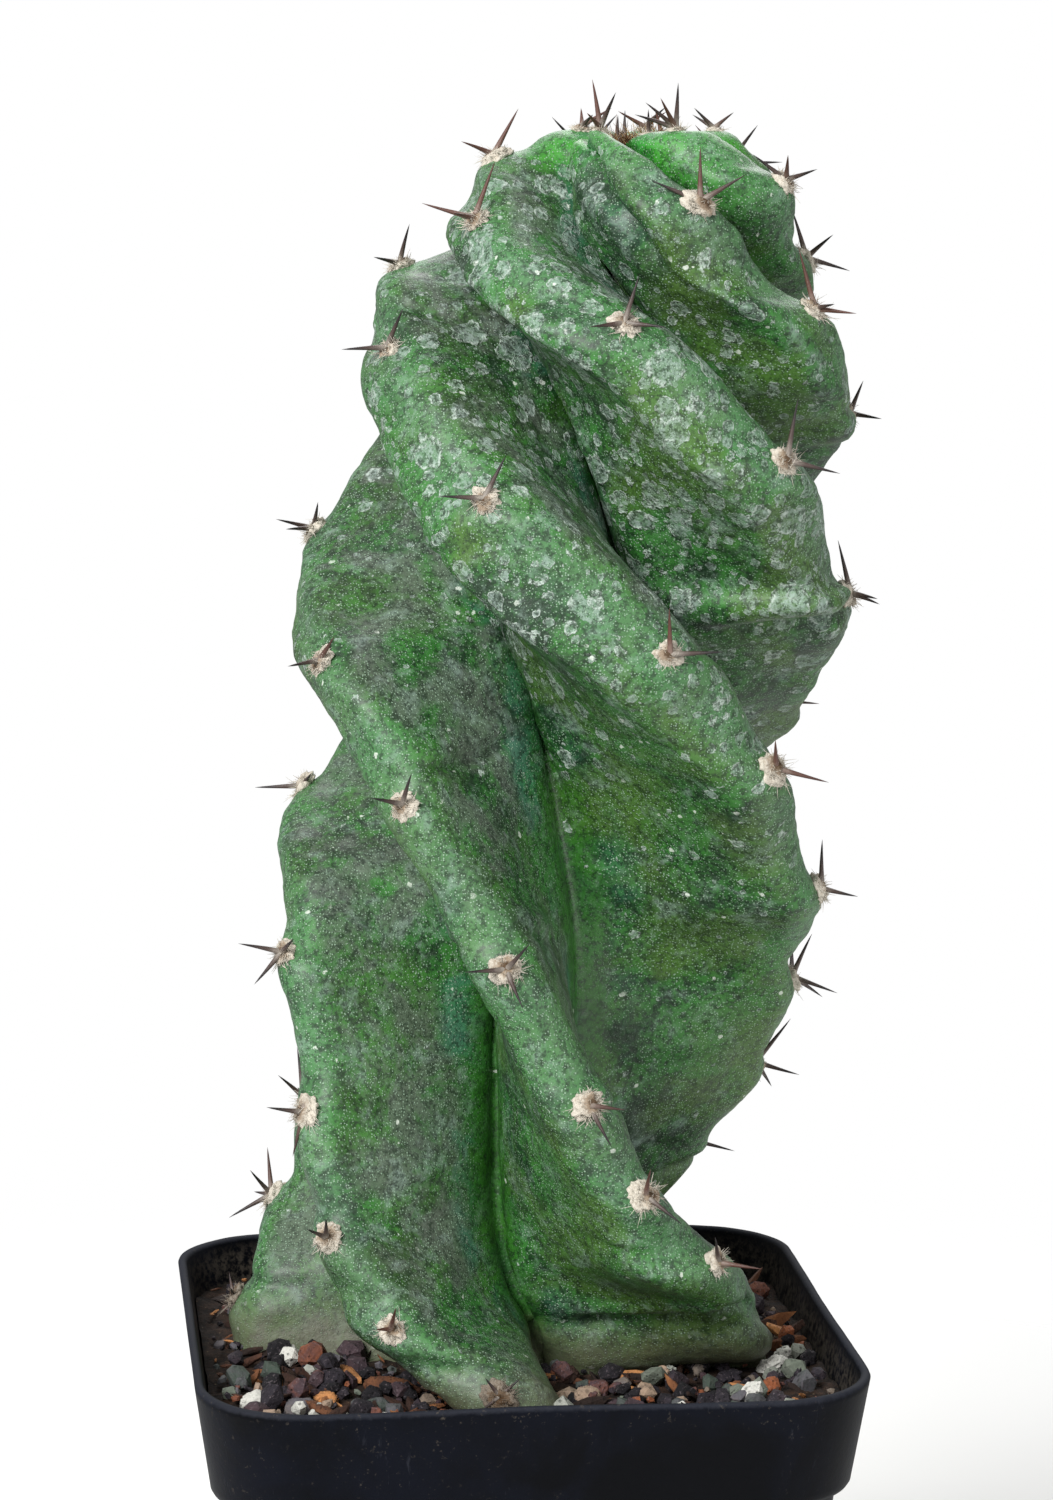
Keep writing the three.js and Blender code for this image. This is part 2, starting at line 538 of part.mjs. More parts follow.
// The direction and length of a spine that reaches this far right and up in the front view
function seenSpine([right, up]) {
  const seen = Math.hypot(right, up);
  const length = Math.max(seen, Math.min(SEEN_SPINE_LENGTH, FORESHORTENING * seen));
  const toward = Math.sqrt(length ** 2 - seen ** 2);
  const direction = new THREE.Vector3(
    right * Math.cos(FRONT_TURN) + toward * Math.sin(FRONT_TURN),
    right * Math.sin(FRONT_TURN) - toward * Math.cos(FRONT_TURN),
    up,
  );
  return { direction: direction.normalize(), length };
}

// Spines by the plant's rule: one up the rib, one to each side and now and then one down
function ruledSpines({ point, out, down, across }, between) {
  const low = point.z < LOW_SPINE_HEIGHT;
  const lift = low ? 0.2 : 0.5;
  const ways = [[0.55, -0.85, between(-0.2, 0.2)], [lift, between(-0.3, 0.1), 0.85],
    [lift, between(-0.3, 0.1), -0.85]];
  if (between(0, 1) < EXTRA_SPINE_CHANCE && !low) ways.push([0.6, 0.8, between(-0.3, 0.3)]);
  return ways.map(([outward, downward, sideways]) => ({
    direction: out.clone().multiplyScalar(outward)
      .addScaledVector(down, downward).addScaledVector(across, sideways).normalize(),
    length: low ? LOW_SPINE_LENGTH : between(...SPINE_LENGTH),
  }));
}

// Every areole has a pad and its spines
function makeAreoles() {
  const random = makeRandom(7);
  const between = (low, high) => low + (high - low) * random();
  const pieces = [];
  for (const rib of ribs) {
    rib.areoles.forEach((reach, number) => {
      const frame = crestFrame(rib, reach);
      pieces.push(makePad(frame, reach < YOUNG_REACH ? YOUNG_PAD : between(0.9, 1.1)));
      let spines = rib.seen[number]?.map(seenSpine) ?? ruledSpines(frame, between);
      if (reach < NEWEST_REACH) {
        const upright = new THREE.Vector3(between(-0.3, 0.3), between(-0.3, 0.3), 1).normalize();
        spines = [{ direction: upright, length: NEWEST_SPINE }];
      }
      for (const { direction, length } of spines) pieces.push(makeSpine(frame, direction, length));
    });
  }
  return pieces.map(toSolid);
}

// Height of the soil before the stem and the stones are set in it
function soilHeight(x, y) {
  const broad = Math.sin(0.31 * x + 1.3) * Math.cos(0.27 * y);
  const small = 0.6 * Math.sin(0.55 * y - 0.4 * x + 2);
  return SOIL_LEVEL - SOIL_TILT * y + SOIL_BUMP * (broad + small);
}

// True where a level point lies outside the stem's foot by a margin
const footOutline = stemRing(FULL_REACH - 3);
function clearOfFoot(x, y, margin) {
  const polygon = footOutline.map((point) => new THREE.Vector2(point.x, point.y));
  const spot = new THREE.Vector2(x, y);
  let inside = false;
  let nearest = Infinity;
  polygon.forEach((from, i) => {
    const to = polygon[(i + 1) % polygon.length];
    const crossing = from.x + ((to.x - from.x) * (y - from.y)) / (to.y - from.y);
    if ((from.y > y) !== (to.y > y) && x < crossing) inside = !inside;
    const edge = to.clone().sub(from);
    const share = THREE.MathUtils.clamp(spot.clone().sub(from).dot(edge) / edge.lengthSq(), 0, 1);
    nearest = Math.min(nearest, spot.distanceTo(from.clone().addScaledVector(edge, share)));
  });
  return !inside && nearest > margin;
}

// Small grit that stands out of the soil's surface
function makeGrit() {
  const random = makeRandom(31);
  const grains = [];
  while (grains.length < GRIT_COUNT) {
    const [x, y] = [(2 * random() - 1) * GRIT_REACH, (2 * random() - 1) * GRIT_REACH];
    const size = 1.4 + random();
    const grain = new THREE.IcosahedronGeometry(size, 0);
    grain.scale(1, 0.75 + 0.4 * random(), 0.7 + 0.3 * random()).rotateZ(random() * Math.PI);
    grain.rotateX(random() * 3).translate(x, y, soilHeight(x, y) + 0.1 * size);
    const inPot = Math.hypot(x, y) < GRIT_CORNER;
    if (inPot && clearOfFoot(x, y, GRIT_MARGIN)) grains.push(toSolid(grain));
  }
  return grains;
}

// The soil, level with the middle of the top band, with a straight hole for the root
function makeSoil(holes) {
  const sideOf = (z) => cavityHalf(z) - CLEARANCE;
  const outline = (half, z) => squareRing(half, cornerOf(half), z, 3, 5);
  const bandFoot = POT_HEIGHT - BAND_HEIGHT;
  const floor = POT_FLOOR + CLEARANCE;
  const rings = [floor, bandFoot - 2, bandFoot + 2].map((z) => outline(sideOf(z), z));
  const top = sideOf(SOIL_LEVEL);
  for (const share of [1, 0.9, 0.75, 0.55]) {
    const level = outline(top * share, 0);
    rings.push(level.map(({ x, y }) => new THREE.Vector3(x, y, soilHeight(x, y))));
  }
  const under = new THREE.Vector3(0, 0, floor);
  const above = new THREE.Vector3(0, 0, soilHeight(0, 0));
  const ground = wasm.Manifold.union([toSolid(loft(rings, under, above)), ...makeGrit()]);
  return toGeometry(ground.subtract(wasm.Manifold.union(holes)));
}

// Moves the loose pieces apart on the soil until they clear each other, the stem and the pot
function settleLoose() {
  const items = LOOSE.map(([kind, x, y, length, width, height, turn]) => ({
    kind, x, y, length, width, height, turn: THREE.MathUtils.degToRad(turn),
  }));
  const reachOf = (item, angle) => Math.hypot(
    (item.length / 2) * Math.cos(angle - item.turn), (item.width / 2) * Math.sin(angle - item.turn),
  );
  const wall = cavityHalf(SOIL_LEVEL) - LOOSE_GAP;
  for (let round = 0; round < SETTLE_ROUNDS; round++) {
    items.forEach((one, i) => {
      for (const other of items.slice(i + 1)) {
        const [dx, dy] = [other.x - one.x, other.y - one.y];
        const [apart, angle] = [Math.hypot(dx, dy), Math.atan2(dy, dx)];
        const lack = (reachOf(one, angle) + reachOf(other, angle) + LOOSE_GAP - apart) / 2;
        if (lack > 0) {
          one.x -= lack * Math.cos(angle);
          one.y -= lack * Math.sin(angle);
          other.x += lack * Math.cos(angle);
          other.y += lack * Math.sin(angle);
        }
      }
      for (let k = 0; k < PROBES; k++) {
        const angle = (k / PROBES) * 2 * Math.PI;
        const reach = reachOf(one, angle);
        const [x, y] = [one.x + reach * Math.cos(angle), one.y + reach * Math.sin(angle)];
        if (!clearOfFoot(x, y, LOOSE_GAP + 0.5)) {
          one.x -= SETTLE_STEP * Math.cos(angle);
          one.y -= SETTLE_STEP * Math.sin(angle);
        }
      }
      const corner = wall - cornerOf(wall);
      const [farX, farY] = [Math.abs(one.x), Math.abs(one.y)];
      const limitX = wall - reachOf(one, 0);
      const limitY = wall - reachOf(one, Math.PI / 2);
      one.x = Math.sign(one.x) * Math.min(farX, limitX);
      one.y = Math.sign(one.y) * Math.min(farY, limitY);
      const [overX, overY] = [Math.abs(one.x) - corner, Math.abs(one.y) - corner];
      if (overX > 0 && overY > 0) {
        const excess = Math.hypot(overX, overY) + one.length / 2 - (wall - corner);
        if (excess > 0) {
          one.x -= Math.sign(one.x) * excess * Math.SQRT1_2;
          one.y -= Math.sign(one.y) * excess * Math.SQRT1_2;
        }
      }
    });
  }
  return items;
}

// An angular stone or chip: the hull of seeded points on a squarish lump
function makeLump(item, random) {
  const points = [];
  for (let i = 0; i < LOOSE_POINTS; i++) {
    const up = 1 - (2 * (i + 0.5)) / LOOSE_POINTS;
    const turn = i * GOLDEN_TURN + 0.7 * random();
    const level = Math.sqrt(1 - up * up);
    const push = 0.86 + 0.14 * random();
    const corner = new THREE.Vector3(level * Math.cos(turn), level * Math.sin(turn), up);
    points.push(corner.multiplyScalar(push));
  }
  const lump = new ConvexGeometry(points);
  lump.scale(item.length / 2, item.width / 2, item.height / 2).rotateZ(item.turn);
  return lump;
}

const group = new THREE.Group();
function addPiece(name, geometry, color, roughness) {
  const material = new THREE.MeshStandardMaterial({ color, roughness, metalness: 0 });
  const mesh = new THREE.Mesh(geometry, material);
  mesh.name = name;
  group.add(mesh);
  return mesh;
}

addPiece('pot', makePot(), new THREE.Color(0x16161c), 0.45);

const stem = wasm.Manifold.union([makeStemBody(), ...makeAreoles()]);
addPiece('cactus_stem', toGeometry(stem), SKIN, 0.55);

const levelStep = (FULL_REACH - STEM_TOP) / (STEM_LEVELS - 1);
const holes = [makeStemBody(CLEARANCE, FULL_REACH - HOLE_STEPS * levelStep, HOLE_STEPS + 1)];
const shapeRandom = makeRandom(11);
const counts = {};
for (const item of settleLoose()) {
  counts[item.kind] = (counts[item.kind] ?? 0) + 1;
  const lump = makeLump(item, shapeRandom);
  const height = soilHeight(item.x, item.y) + LOOSE_SUNK * item.height;
  const wider = 1 + LOOSE_POCKET / item.length;
  const pocket = lump.clone().scale(wider, wider, 1 + LOOSE_POCKET / item.height);
  holes.push(toSolid(pocket.translate(item.x, item.y, height)));
  const name = `${item.kind}_${counts[item.kind]}`;
  const mesh = addPiece(name, toGeometry(toSolid(lump)), COLOURS[item.kind], 0.9);
  mesh.position.set(item.x, item.y, height);
}

addPiece('soil', makeSoil(holes), new THREE.Color(0x3a2c24), 1);

export default group;
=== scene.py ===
"""Dresses the potted spiral cactus: its skin, wool, spines, pot, soil and stones.

The form of the stem repeats the formula of its solid, in millimetres, and every mesh is turned
into metres when it is made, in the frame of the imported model.
"""

import logging
import math
from collections.abc import Sequence
from dataclasses import dataclass, field
from enum import Enum

import bmesh
import bpy
import numpy as np
from mathutils import Matrix, Vector


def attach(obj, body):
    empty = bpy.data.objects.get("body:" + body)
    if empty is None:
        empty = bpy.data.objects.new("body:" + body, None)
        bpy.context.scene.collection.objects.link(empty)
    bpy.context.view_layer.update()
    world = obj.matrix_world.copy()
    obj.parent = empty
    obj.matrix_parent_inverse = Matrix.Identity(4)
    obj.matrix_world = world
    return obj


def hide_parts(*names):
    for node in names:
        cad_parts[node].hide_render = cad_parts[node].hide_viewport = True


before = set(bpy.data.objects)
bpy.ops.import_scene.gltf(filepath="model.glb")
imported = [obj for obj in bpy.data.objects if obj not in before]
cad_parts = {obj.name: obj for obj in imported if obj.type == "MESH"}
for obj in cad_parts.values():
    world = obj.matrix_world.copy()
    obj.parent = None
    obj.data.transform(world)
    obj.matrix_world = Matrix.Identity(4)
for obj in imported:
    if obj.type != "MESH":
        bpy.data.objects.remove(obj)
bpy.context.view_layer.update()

log = logging.getLogger("cactus")

MM = 0.001
BODY = "root"

Colour = tuple[float, float, float]
Row = tuple[float, ...]
Setting = str | int | float | bool | tuple
Link = "Sock | float | Sequence[float]"
Pair = tuple[float, float]
Place = tuple[float, float, float]
Held = dict[str, np.ndarray]
Mesh = tuple[np.ndarray, list]
Draws = np.random.Generator


def colour(code: str) -> Colour:
    """Turns a hex colour as seen on a screen into the linear colour of a shader.

    Args:
        code: Six hex digits.

    Returns:
        Red, green and blue from 0 to 1.
    """
    parts = [int(code[i:i + 2], 16) / 255 for i in (0, 2, 4)]
    return tuple(p / 12.92 if p <= 0.04045 else ((p + 0.055) / 1.055) ** 2.4 for p in parts)


def ease(low: float, high: float, value: np.ndarray) -> np.ndarray:
    """Rises smoothly from 0 at low to 1 at high.

    Args:
        low: Where the rise starts.
        high: Where it ends.
        value: The numbers to map.

    Returns:
        The mapped numbers, from 0 to 1.
    """
    t = np.clip((np.asarray(value, float) - low) / (high - low), 0, 1)
    return t * t * (3 - 2 * t)


def hashed(cells: np.ndarray, seed: int) -> np.ndarray:
    """Gives each cell of a grid a fixed number.

    Args:
        cells: Whole-number cell positions, three to a cell.
        seed: Picks another set of numbers.

    Returns:
        A number from -1 to 1 for each cell.
    """
    mixed = cells @ np.array([73856093, 19349663, 83492791]) + seed * 2654435761
    mixed = (mixed ^ (mixed >> 13)) * 1274126177 & 0xFFFFFFFF
    mixed = (mixed ^ (mixed >> 16)) * 2246822519 & 0xFFFFFFFF
    return ((mixed ^ (mixed >> 15)) & 0xFFFF) / 32767.5 - 1.0


def lumps(points: np.ndarray, size: float, seed: int = 0) -> np.ndarray:
    """Smooth noise over space.

    Args:
        points: Positions, in the same unit as the size.
        size: The spacing of the lumps.
        seed: Picks another noise.

    Returns:
        A number from -1 to 1 for each point.
    """
    grid = points / size
    cell = np.floor(grid).astype(np.int64)
    part = grid - cell
    part = part * part * (3 - 2 * part)
    total = np.zeros(points.shape[:-1])
    for corner in np.ndindex(2, 2, 2):
        step = np.array(corner)
        weight = np.prod(np.where(step == 1, part, 1 - part), axis=-1)
        total += weight * hashed(cell + step, seed)
    return total


class SmoothCurve:
    """A smooth curve through points that never overshoots them."""

    def __init__(self, xs: Sequence[float], ys: Sequence[float]) -> None:
        """Works out the slope at each point.

        Args:
            xs: Rising positions.
            ys: The value at each position.
        """
        self.xs = np.asarray(xs, float)
        self.ys = np.asarray(ys, float)
        gaps = np.diff(self.xs)
        rises = np.diff(self.ys) / gaps
        self.slopes = np.zeros(len(self.xs))
        for i in range(1, len(self.xs) - 1):
            if rises[i - 1] * rises[i] > 0:
                before = 2 * gaps[i] + gaps[i - 1]
                after = gaps[i] + 2 * gaps[i - 1]
                self.slopes[i] = (before + after) / (before / rises[i - 1] + after / rises[i])
        self.slopes[0], self.slopes[-1] = rises[0], rises[-1]

    def at(self, x: float) -> float:
        """Reads the curve.

        Args:
            x: A position, held within the ends of the curve.

        Returns:
            The value there.
        """
        x = min(max(x, self.xs[0]), self.xs[-1])
        i = int(np.clip(np.searchsorted(self.xs, x, side="right") - 1, 0, len(self.xs) - 2))
        gap = self.xs[i + 1] - self.xs[i]
        t = (x - self.xs[i]) / gap
        u = 1 - t
        return float(
            self.ys[i] * (1 + 2 * t) * u * u + self.slopes[i] * gap * t * u * u
            + self.ys[i + 1] * t * t * (3 - 2 * t) - self.slopes[i + 1] * gap * t * t * u
        )


def curve_of(rows: Sequence[Row], column: int = 1) -> SmoothCurve:
    """Makes a curve of one column of a table against its first column."""
    return SmoothCurve([row[0] for row in rows], [row[column] for row in rows])


# Shader maths


class Sock:
    """A shader socket that takes part in arithmetic as a number."""

    def __init__(self, tree: "Tree", socket: bpy.types.NodeSocket) -> None:
        """Keeps the socket and the tree that it belongs to."""
        self.tree = tree
        self.socket = socket

    def out(self, name: str) -> "Sock":
        """Gives another output of the same node."""
        return Sock(self.tree, self.socket.node.outputs[name])

    def __add__(self, other: Link) -> "Sock":
        """Adds on the right."""
        return self.tree.maths("ADD", self, other)

    def __radd__(self, other: Link) -> "Sock":
        """Adds on the left."""
        return self.tree.maths("ADD", other, self)

    def __sub__(self, other: Link) -> "Sock":
        """Subtracts a value."""
        return self.tree.maths("SUBTRACT", self, other)

    def __rsub__(self, other: Link) -> "Sock":
        """Is subtracted from a value."""
        return self.tree.maths("SUBTRACT", other, self)

    def __mul__(self, other: Link) -> "Sock":
        """Multiplies on the right."""
        return self.tree.maths("MULTIPLY", self, other)

    def __rmul__(self, other: Link) -> "Sock":
        """Multiplies on the left."""
        return self.tree.maths("MULTIPLY", other, self)


class Tree:
    """The nodes of one material, made by expressions and by one node method."""

    def __init__(self, owner: bpy.types.Material | bpy.types.World) -> None:
        """Starts an empty tree.

        Args:
            owner: The new material or world that it belongs to.
        """
        self.owner = owner
        owner.use_nodes = True
        self.nodes = owner.node_tree.nodes
        self.links = owner.node_tree.links
        self.place: Sock | None = None
        self.nodes.clear()

    @classmethod
    def material(cls, name: str) -> "Tree":
        """Starts the tree of a new material, which knows the place of each point.

        Args:
            name: The material's name.

        Returns:
            The tree.
        """
        tree = cls(bpy.data.materials.new(name))
        tree.place = tree.node("TexCoord", output="Object")
        return tree

    def node(
        self, kind: str, settings: dict[str, Setting] | None = None,
        inputs: dict[str, Link] | None = None, output: str | int = 0,
    ) -> Sock:
        """Adds a node: its settings first, then the values or links of its sockets.

        Args:
            kind: The node's type, without the ShaderNode in front.
            settings: Values of the node itself; stops gives a ramp's positions and colours.
            inputs: A value or a link for each named or numbered socket.
            output: The output to give back.

        Returns:
            The chosen output.
        """
        node = self.nodes.new("ShaderNode" + kind)
        for key, value in (settings or {}).items():
            if key == "stops":
                stops = node.color_ramp.elements
                for i, (position, tint) in enumerate(value):
                    stop = stops[i] if i < 2 else stops.new(position)
                    stop.position = position
                    stop.color = (*tint, 1)
            else:
                setattr(node, key, value)
        for key, value in (inputs or {}).items():
            socket = self.find(node.inputs, key)
            if isinstance(value, Sock):
                self.links.new(value.socket, socket)
            elif isinstance(value, tuple) and len(value) == 3 and socket.type == "RGBA":
                socket.default_value = (*value, 1)
            else:
                socket.default_value = value
        return Sock(self, self.find(node.outputs, output)) if node.outputs else Sock(self, None)

    @staticmethod
    def find(sockets: Sequence[bpy.types.NodeSocket], key: str | int) -> bpy.types.NodeSocket:
        """Picks a socket that is in use.

        Args:
            sockets: The inputs or outputs of a node.
            key: The socket's name or number.

        Returns:
            The socket.
        """
        if isinstance(key, int):
            return sockets[key]
        return next(s for s in sockets if s.enabled and s.name == key)

    def maths(self, operation: str, first: Link, second: Link) -> Sock:
        """Adds a Math node on two values."""
        return self.node("Math", {"operation": operation}, {0: first, 1: second})

    def attribute(self, name: str) -> Sock:
        """Reads a number that the mesh holds at each point."""
        return self.node("Attribute", {"attribute_name": name}, output="Fac")

    def noise(self, size: float, detail: float = 3, rough: float = 0.55, warp: float = 0.0,
              place: Sock | None = None) -> Sock:
        """Noise from 0 to 1 over the object.

        Args:
            size: The spacing of the lumps, in millimetres.
            detail: How many finer layers it has.
            rough: How strong the finer layers are.
            warp: How much it is distorted.
            place: The position that it is read at, or None for the point itself.

        Returns:
            The noise.
        """
        inputs = {"Vector": place or self.place, "Scale": 1 / (size * MM), "Detail": detail,
                  "Roughness": rough, "Distortion": warp}
        return self.node("TexNoise", {}, inputs)

    def cells(self, size: float, place: Sock | None = None, random: float = 1.0) -> Sock:
        """Distances in a field of cells.

        Args:
            size: The spacing of the cells, in millimetres.
            place: The position that it is read at, or None for the point itself.
            random: How irregular the cells are.

        Returns:
            The distance, in cell sizes.
        """
        inputs = {"Vector": place or self.place, "Scale": 1 / (size * MM), "Randomness": random}
        return self.node("TexVoronoi", {}, inputs, "Distance")

    def rise(self, value: Link, low: float, high: float) -> Sock:
        """Rises smoothly from 0 at low to 1 at high, or falls where low is the greater."""
        inputs = {"Value": value, "From Min": low, "From Max": high}
        return self.node("MapRange", {"interpolation_type": "SMOOTHSTEP"}, inputs)

    def mix(self, first: Link, second: Link, factor: Link) -> Sock:
        """Mixes two colours by a factor."""
        inputs = {"Factor": factor, "A": first, "B": second}
        return self.node("Mix", {"data_type": "RGBA"}, inputs, "Result")

    def shifted(self, amount: Sock, reach: float) -> Sock:
        """Moves the point where a texture is read by a colour of noise.

        Args:
            amount: A colour from 0 to 1.
            reach: How far it moves the point, in millimetres.

        Returns:
            The moved position.
        """
        inputs = {0: amount, 1: (reach * MM,) * 3, 2: self.place}
        return self.node("VectorMath", {"operation": "MULTIPLY_ADD"}, inputs)

    def stretched(self, factor: float) -> Sock:
        """The point with its height scaled, which draws a texture out along the vertical."""
        inputs = {0: self.place, 1: (1, 1, factor)}
        return self.node("VectorMath", {"operation": "MULTIPLY"}, inputs)

    def pick(self, cell: Sock, channel: str) -> Sock:
        """A number from 0 to 1 that each cell has of its own."""
        return self.node("SeparateColor", {}, {"Color": cell.out("Color")}, channel)

    def bump(self, height: Sock, depth: float) -> Sock:
        """Bends the normal by a height, of which 1 stands for a depth in millimetres."""
        inputs = {"Height": height, "Distance": depth * MM, "Strength": 1.0}
        return self.node("Bump", {}, inputs)

    def finish(self, links: dict[str, Link], constants: dict[str, float | tuple]
               ) -> bpy.types.Material:
        """Ends the tree in a principled shader.

        Args:
            links: What varies over the surface, by socket name.
            constants: What is the same all over it, by socket name.

        Returns:
            The material.
        """
        shader = self.node("BsdfPrincipled", {}, {**constants, **links})
        self.node("OutputMaterial", {}, {"Surface": shader})
        return self.owner


# Finishes. The bare numbers in a recipe are the limits and the shares of its mixes.


@dataclass(frozen=True)
class SkinFinish:
    """Waxy cactus skin with bloom, pale stipple and dried water marks."""

    deep: Colour = colour("0f3016")
    green: Colour = colour("33702c")
    olive: Colour = colour("496a28")
    fresh: Colour = colour("379620")
    crease: Colour = colour("285d16")
    bloom: Colour = colour("8a9f95")
    mauve: Colour = colour("585d57")
    teal: Colour = colour("3c7562")
    ridge: Colour = colour("547d58")
    dots: Colour = colour("98b49a")
    mark: Colour = colour("93a39c")
    rim: Colour = colour("c3cfc5")
    fleck: Colour = colour("dfe6da")
    shade: Colour = colour("0f2412")
    soil_stain: Colour = colour("615e4d")
    dot_size: float = 0.42
    fleck_gap: float = 2.7
    mark_sizes: tuple[float, ...] = (6.4, 3.6, 2.0)
    roughness: float = 0.46

    def build(self) -> bpy.types.Material:
        """Makes the material.

        Returns:
            The material.
        """
        t = Tree.material("cactus_skin")
        crest, hollow = t.attribute("crest"), t.attribute("hollow")
        lower, youth = t.attribute("lower"), t.attribute("youth")
        marked, stained = t.attribute("marked"), t.attribute("stained")
        upper = 1 - lower
        wide = t.noise(24, 3, 0.6, 0.4)
        patches = t.noise(7, 5, 0.65, 0.6)
        fine = t.noise(1.2, 4, 0.7)
        speck = t.noise(0.42, 2, 0.7)

        blend = wide * 0.38 + patches * 0.34 + fine * 0.28
        tone = t.mix(self.deep, self.green, t.rise(blend, 0.43, 0.56))
        warm = t.rise(t.noise(15, 3, 0.5, 0.5), 0.42, 0.62)
        tone = t.mix(tone, self.olive, warm * (0.3 + lower * 0.45))
        tone = t.mix(tone, self.fresh, t.rise(youth + wide * 0.5, 0.65, 1.1) * 0.9)
        tone = t.mix(tone, self.ridge, t.rise(crest, 0.3, 0.95) * (0.2 + patches * 0.55))
        middle = (1 - t.rise(crest, 0.1, 0.6)) * (1 - t.rise(hollow, 0.2, 0.8))
        haze = t.rise(t.noise(12, 6, 0.66, 0.8), 0.42, 0.6)
        tone = t.mix(tone, self.mauve, haze * middle * (0.12 + upper * 0.62) * (1 - youth * 0.6))
        cool = t.rise(t.noise(10, 5, 0.62, 0.6), 0.42, 0.62) * t.rise(hollow, 0.02, 0.3)
        tone = t.mix(tone, self.teal, cool * (0.2 + upper * 0.38))
        vivid = t.rise(hollow, 0.5, 0.92) * t.rise(wide + youth * 0.3, 0.28, 0.5)
        tone = t.mix(tone, self.crease, vivid * 0.75)
        clouds = t.rise(t.noise(4.6, 7, 0.72, 0.5), 0.5, 0.72)
        tone = t.mix(tone, self.bloom, clouds * (0.55 - vivid * 0.4))

        whole, rims = self.marks(t, marked)
        grainy = t.rise(speck * 0.6 + fine * 0.5, 0.44, 0.66)
        tone = t.mix(tone, self.mark, whole * (0.34 + grainy * 0.38))
        tone = t.mix(tone, self.rim, rims * 0.55)
        tone = t.mix(tone, self.shade, t.rise(fine * 0.6 + speck * 0.4, 0.54, 0.40) * 0.72)
        dots = self.stipple(t, crest, patches, vivid)
        tone = t.mix(tone, self.dots, dots * 0.72)
        tone = t.mix(tone, self.fleck, self.flecks(t, patches) * 0.65)
        tone = t.mix(tone, self.soil_stain, t.rise(stained + fine * 0.5, 0.8, 1.25) * 0.72)

        rough = self.roughness + whole * 0.22 + clouds * 0.14 + patches * 0.14 - hollow * 0.16
        relief = fine * 0.5 + speck * 0.14 + dots * 0.22 + rims * 0.4 + whole * 0.2
        normal = t.bump(relief + t.noise(3.2, 3) * 0.8, 0.3)
        return t.finish(
            {"Base Color": tone, "Roughness": rough, "Normal": normal},
            {"Coat Weight": 0.1, "Coat Roughness": 0.3, "Specular IOR Level": 0.42},
        )

    def stipple(self, t: Tree, crest: Sock, patches: Sock, vivid: Sock) -> Sock:
        """Tiny pale dots, denser along the ridges and missing in the deep creases.

        Args:
            t: The tree.
            crest: How near the crest the skin lies.
            patches: Noise that thins the dots out.
            vivid: How green the deep crease is.

        Returns:
            The dots, from 0 to 1.
        """
        cell = t.cells(self.dot_size, random=0.85)
        pick = t.pick(cell, "Red")
        dot = t.rise(cell + pick * 0.16, 0.42, 0.24)
        return dot * t.rise(patches + crest * 0.2, 0.24, 0.56) * (1 - vivid * 0.8)

    def flecks(self, t: Tree, patches: Sock) -> Sock:
        """Sparse bright specks of dried wax.

        Args:
            t: The tree.
            patches: Noise that thins the specks out.

        Returns:
            The specks, from 0 to 1.
        """
        place = t.shifted(t.noise(0.9, 2).out("Color"), 0.9)
        cell = t.cells(self.fleck_gap, place=place)
        pick = t.pick(cell, "Green")
        speck = t.rise(cell - t.rise(pick, 0.62, 1.0) * 0.16, 0.03, -0.02)
        return speck * t.rise(patches, 0.4, 0.55)

    def marks(self, t: Tree, marked: Sock) -> tuple[Sock, Sock]:
        """Blotches where water dried, in three sizes, and their broken pale rims.

        Args:
            t: The tree.
            marked: How many marks there are, from 0 to 1.

        Returns:
            The blotches and the rims, each from 0 to 1.
        """
        whole, edges = None, None
        for size in self.mark_sizes:
            place = t.shifted(t.noise(0.5 * size, 3, 0.62).out("Color"), 0.55 * size)
            cell = t.cells(size, place=place)
            pick = t.pick(cell, "Red")
            edge = cell - t.rise(pick + marked * 0.75, 0.88, 1.7) * 0.5
            inside = t.rise(edge, 0.015, -0.03)
            rim = t.rise(edge, -0.10, -0.03) * t.rise(edge, 0.02, -0.01)
            whole = inside if whole is None else t.maths("MAXIMUM", whole, inside)
            edges = rim if edges is None else t.maths("MAXIMUM", edges, rim)
        broken = t.rise(t.noise(1.0, 3, 0.6), 0.4, 0.56)
        return whole * (0.4 + broken * 0.6), edges * broken


@dataclass(frozen=True)
class WoolFinish:
    """Matted areole wool, from a pale fringe to a brown middle."""

    name: str = "areole_wool"
    pale: Colour = colour("cfc8ba")
    tan: Colour = colour("948370")
    brown: Colour = colour("46321f")

    def build(self) -> bpy.types.Material:
        """Makes the material.

        Returns:
            The material.
        """
        t = Tree.material(self.name)
        core, aged = t.attribute("core"), t.attribute("aged")
        grain = t.noise(0.45, 4, 0.7)
        tone = t.mix(self.pale, self.tan, t.rise(core + grain * 0.8, 0.42, 0.85))
        tone = t.mix(tone, self.brown, t.rise(core + grain * 0.9, 0.9, 1.35) * 0.85)
        tone = t.mix(tone, self.brown, t.rise(aged + grain * 0.6, 0.7, 1.3) * 0.75)
        return t.finish(
            {"Base Color": tone, "Roughness": 0.85 + grain * 0.1,
             "Normal": t.bump(t.noise(0.3, 3, 0.7), 0.25)},
            {"Specular IOR Level": 0.2},
        )


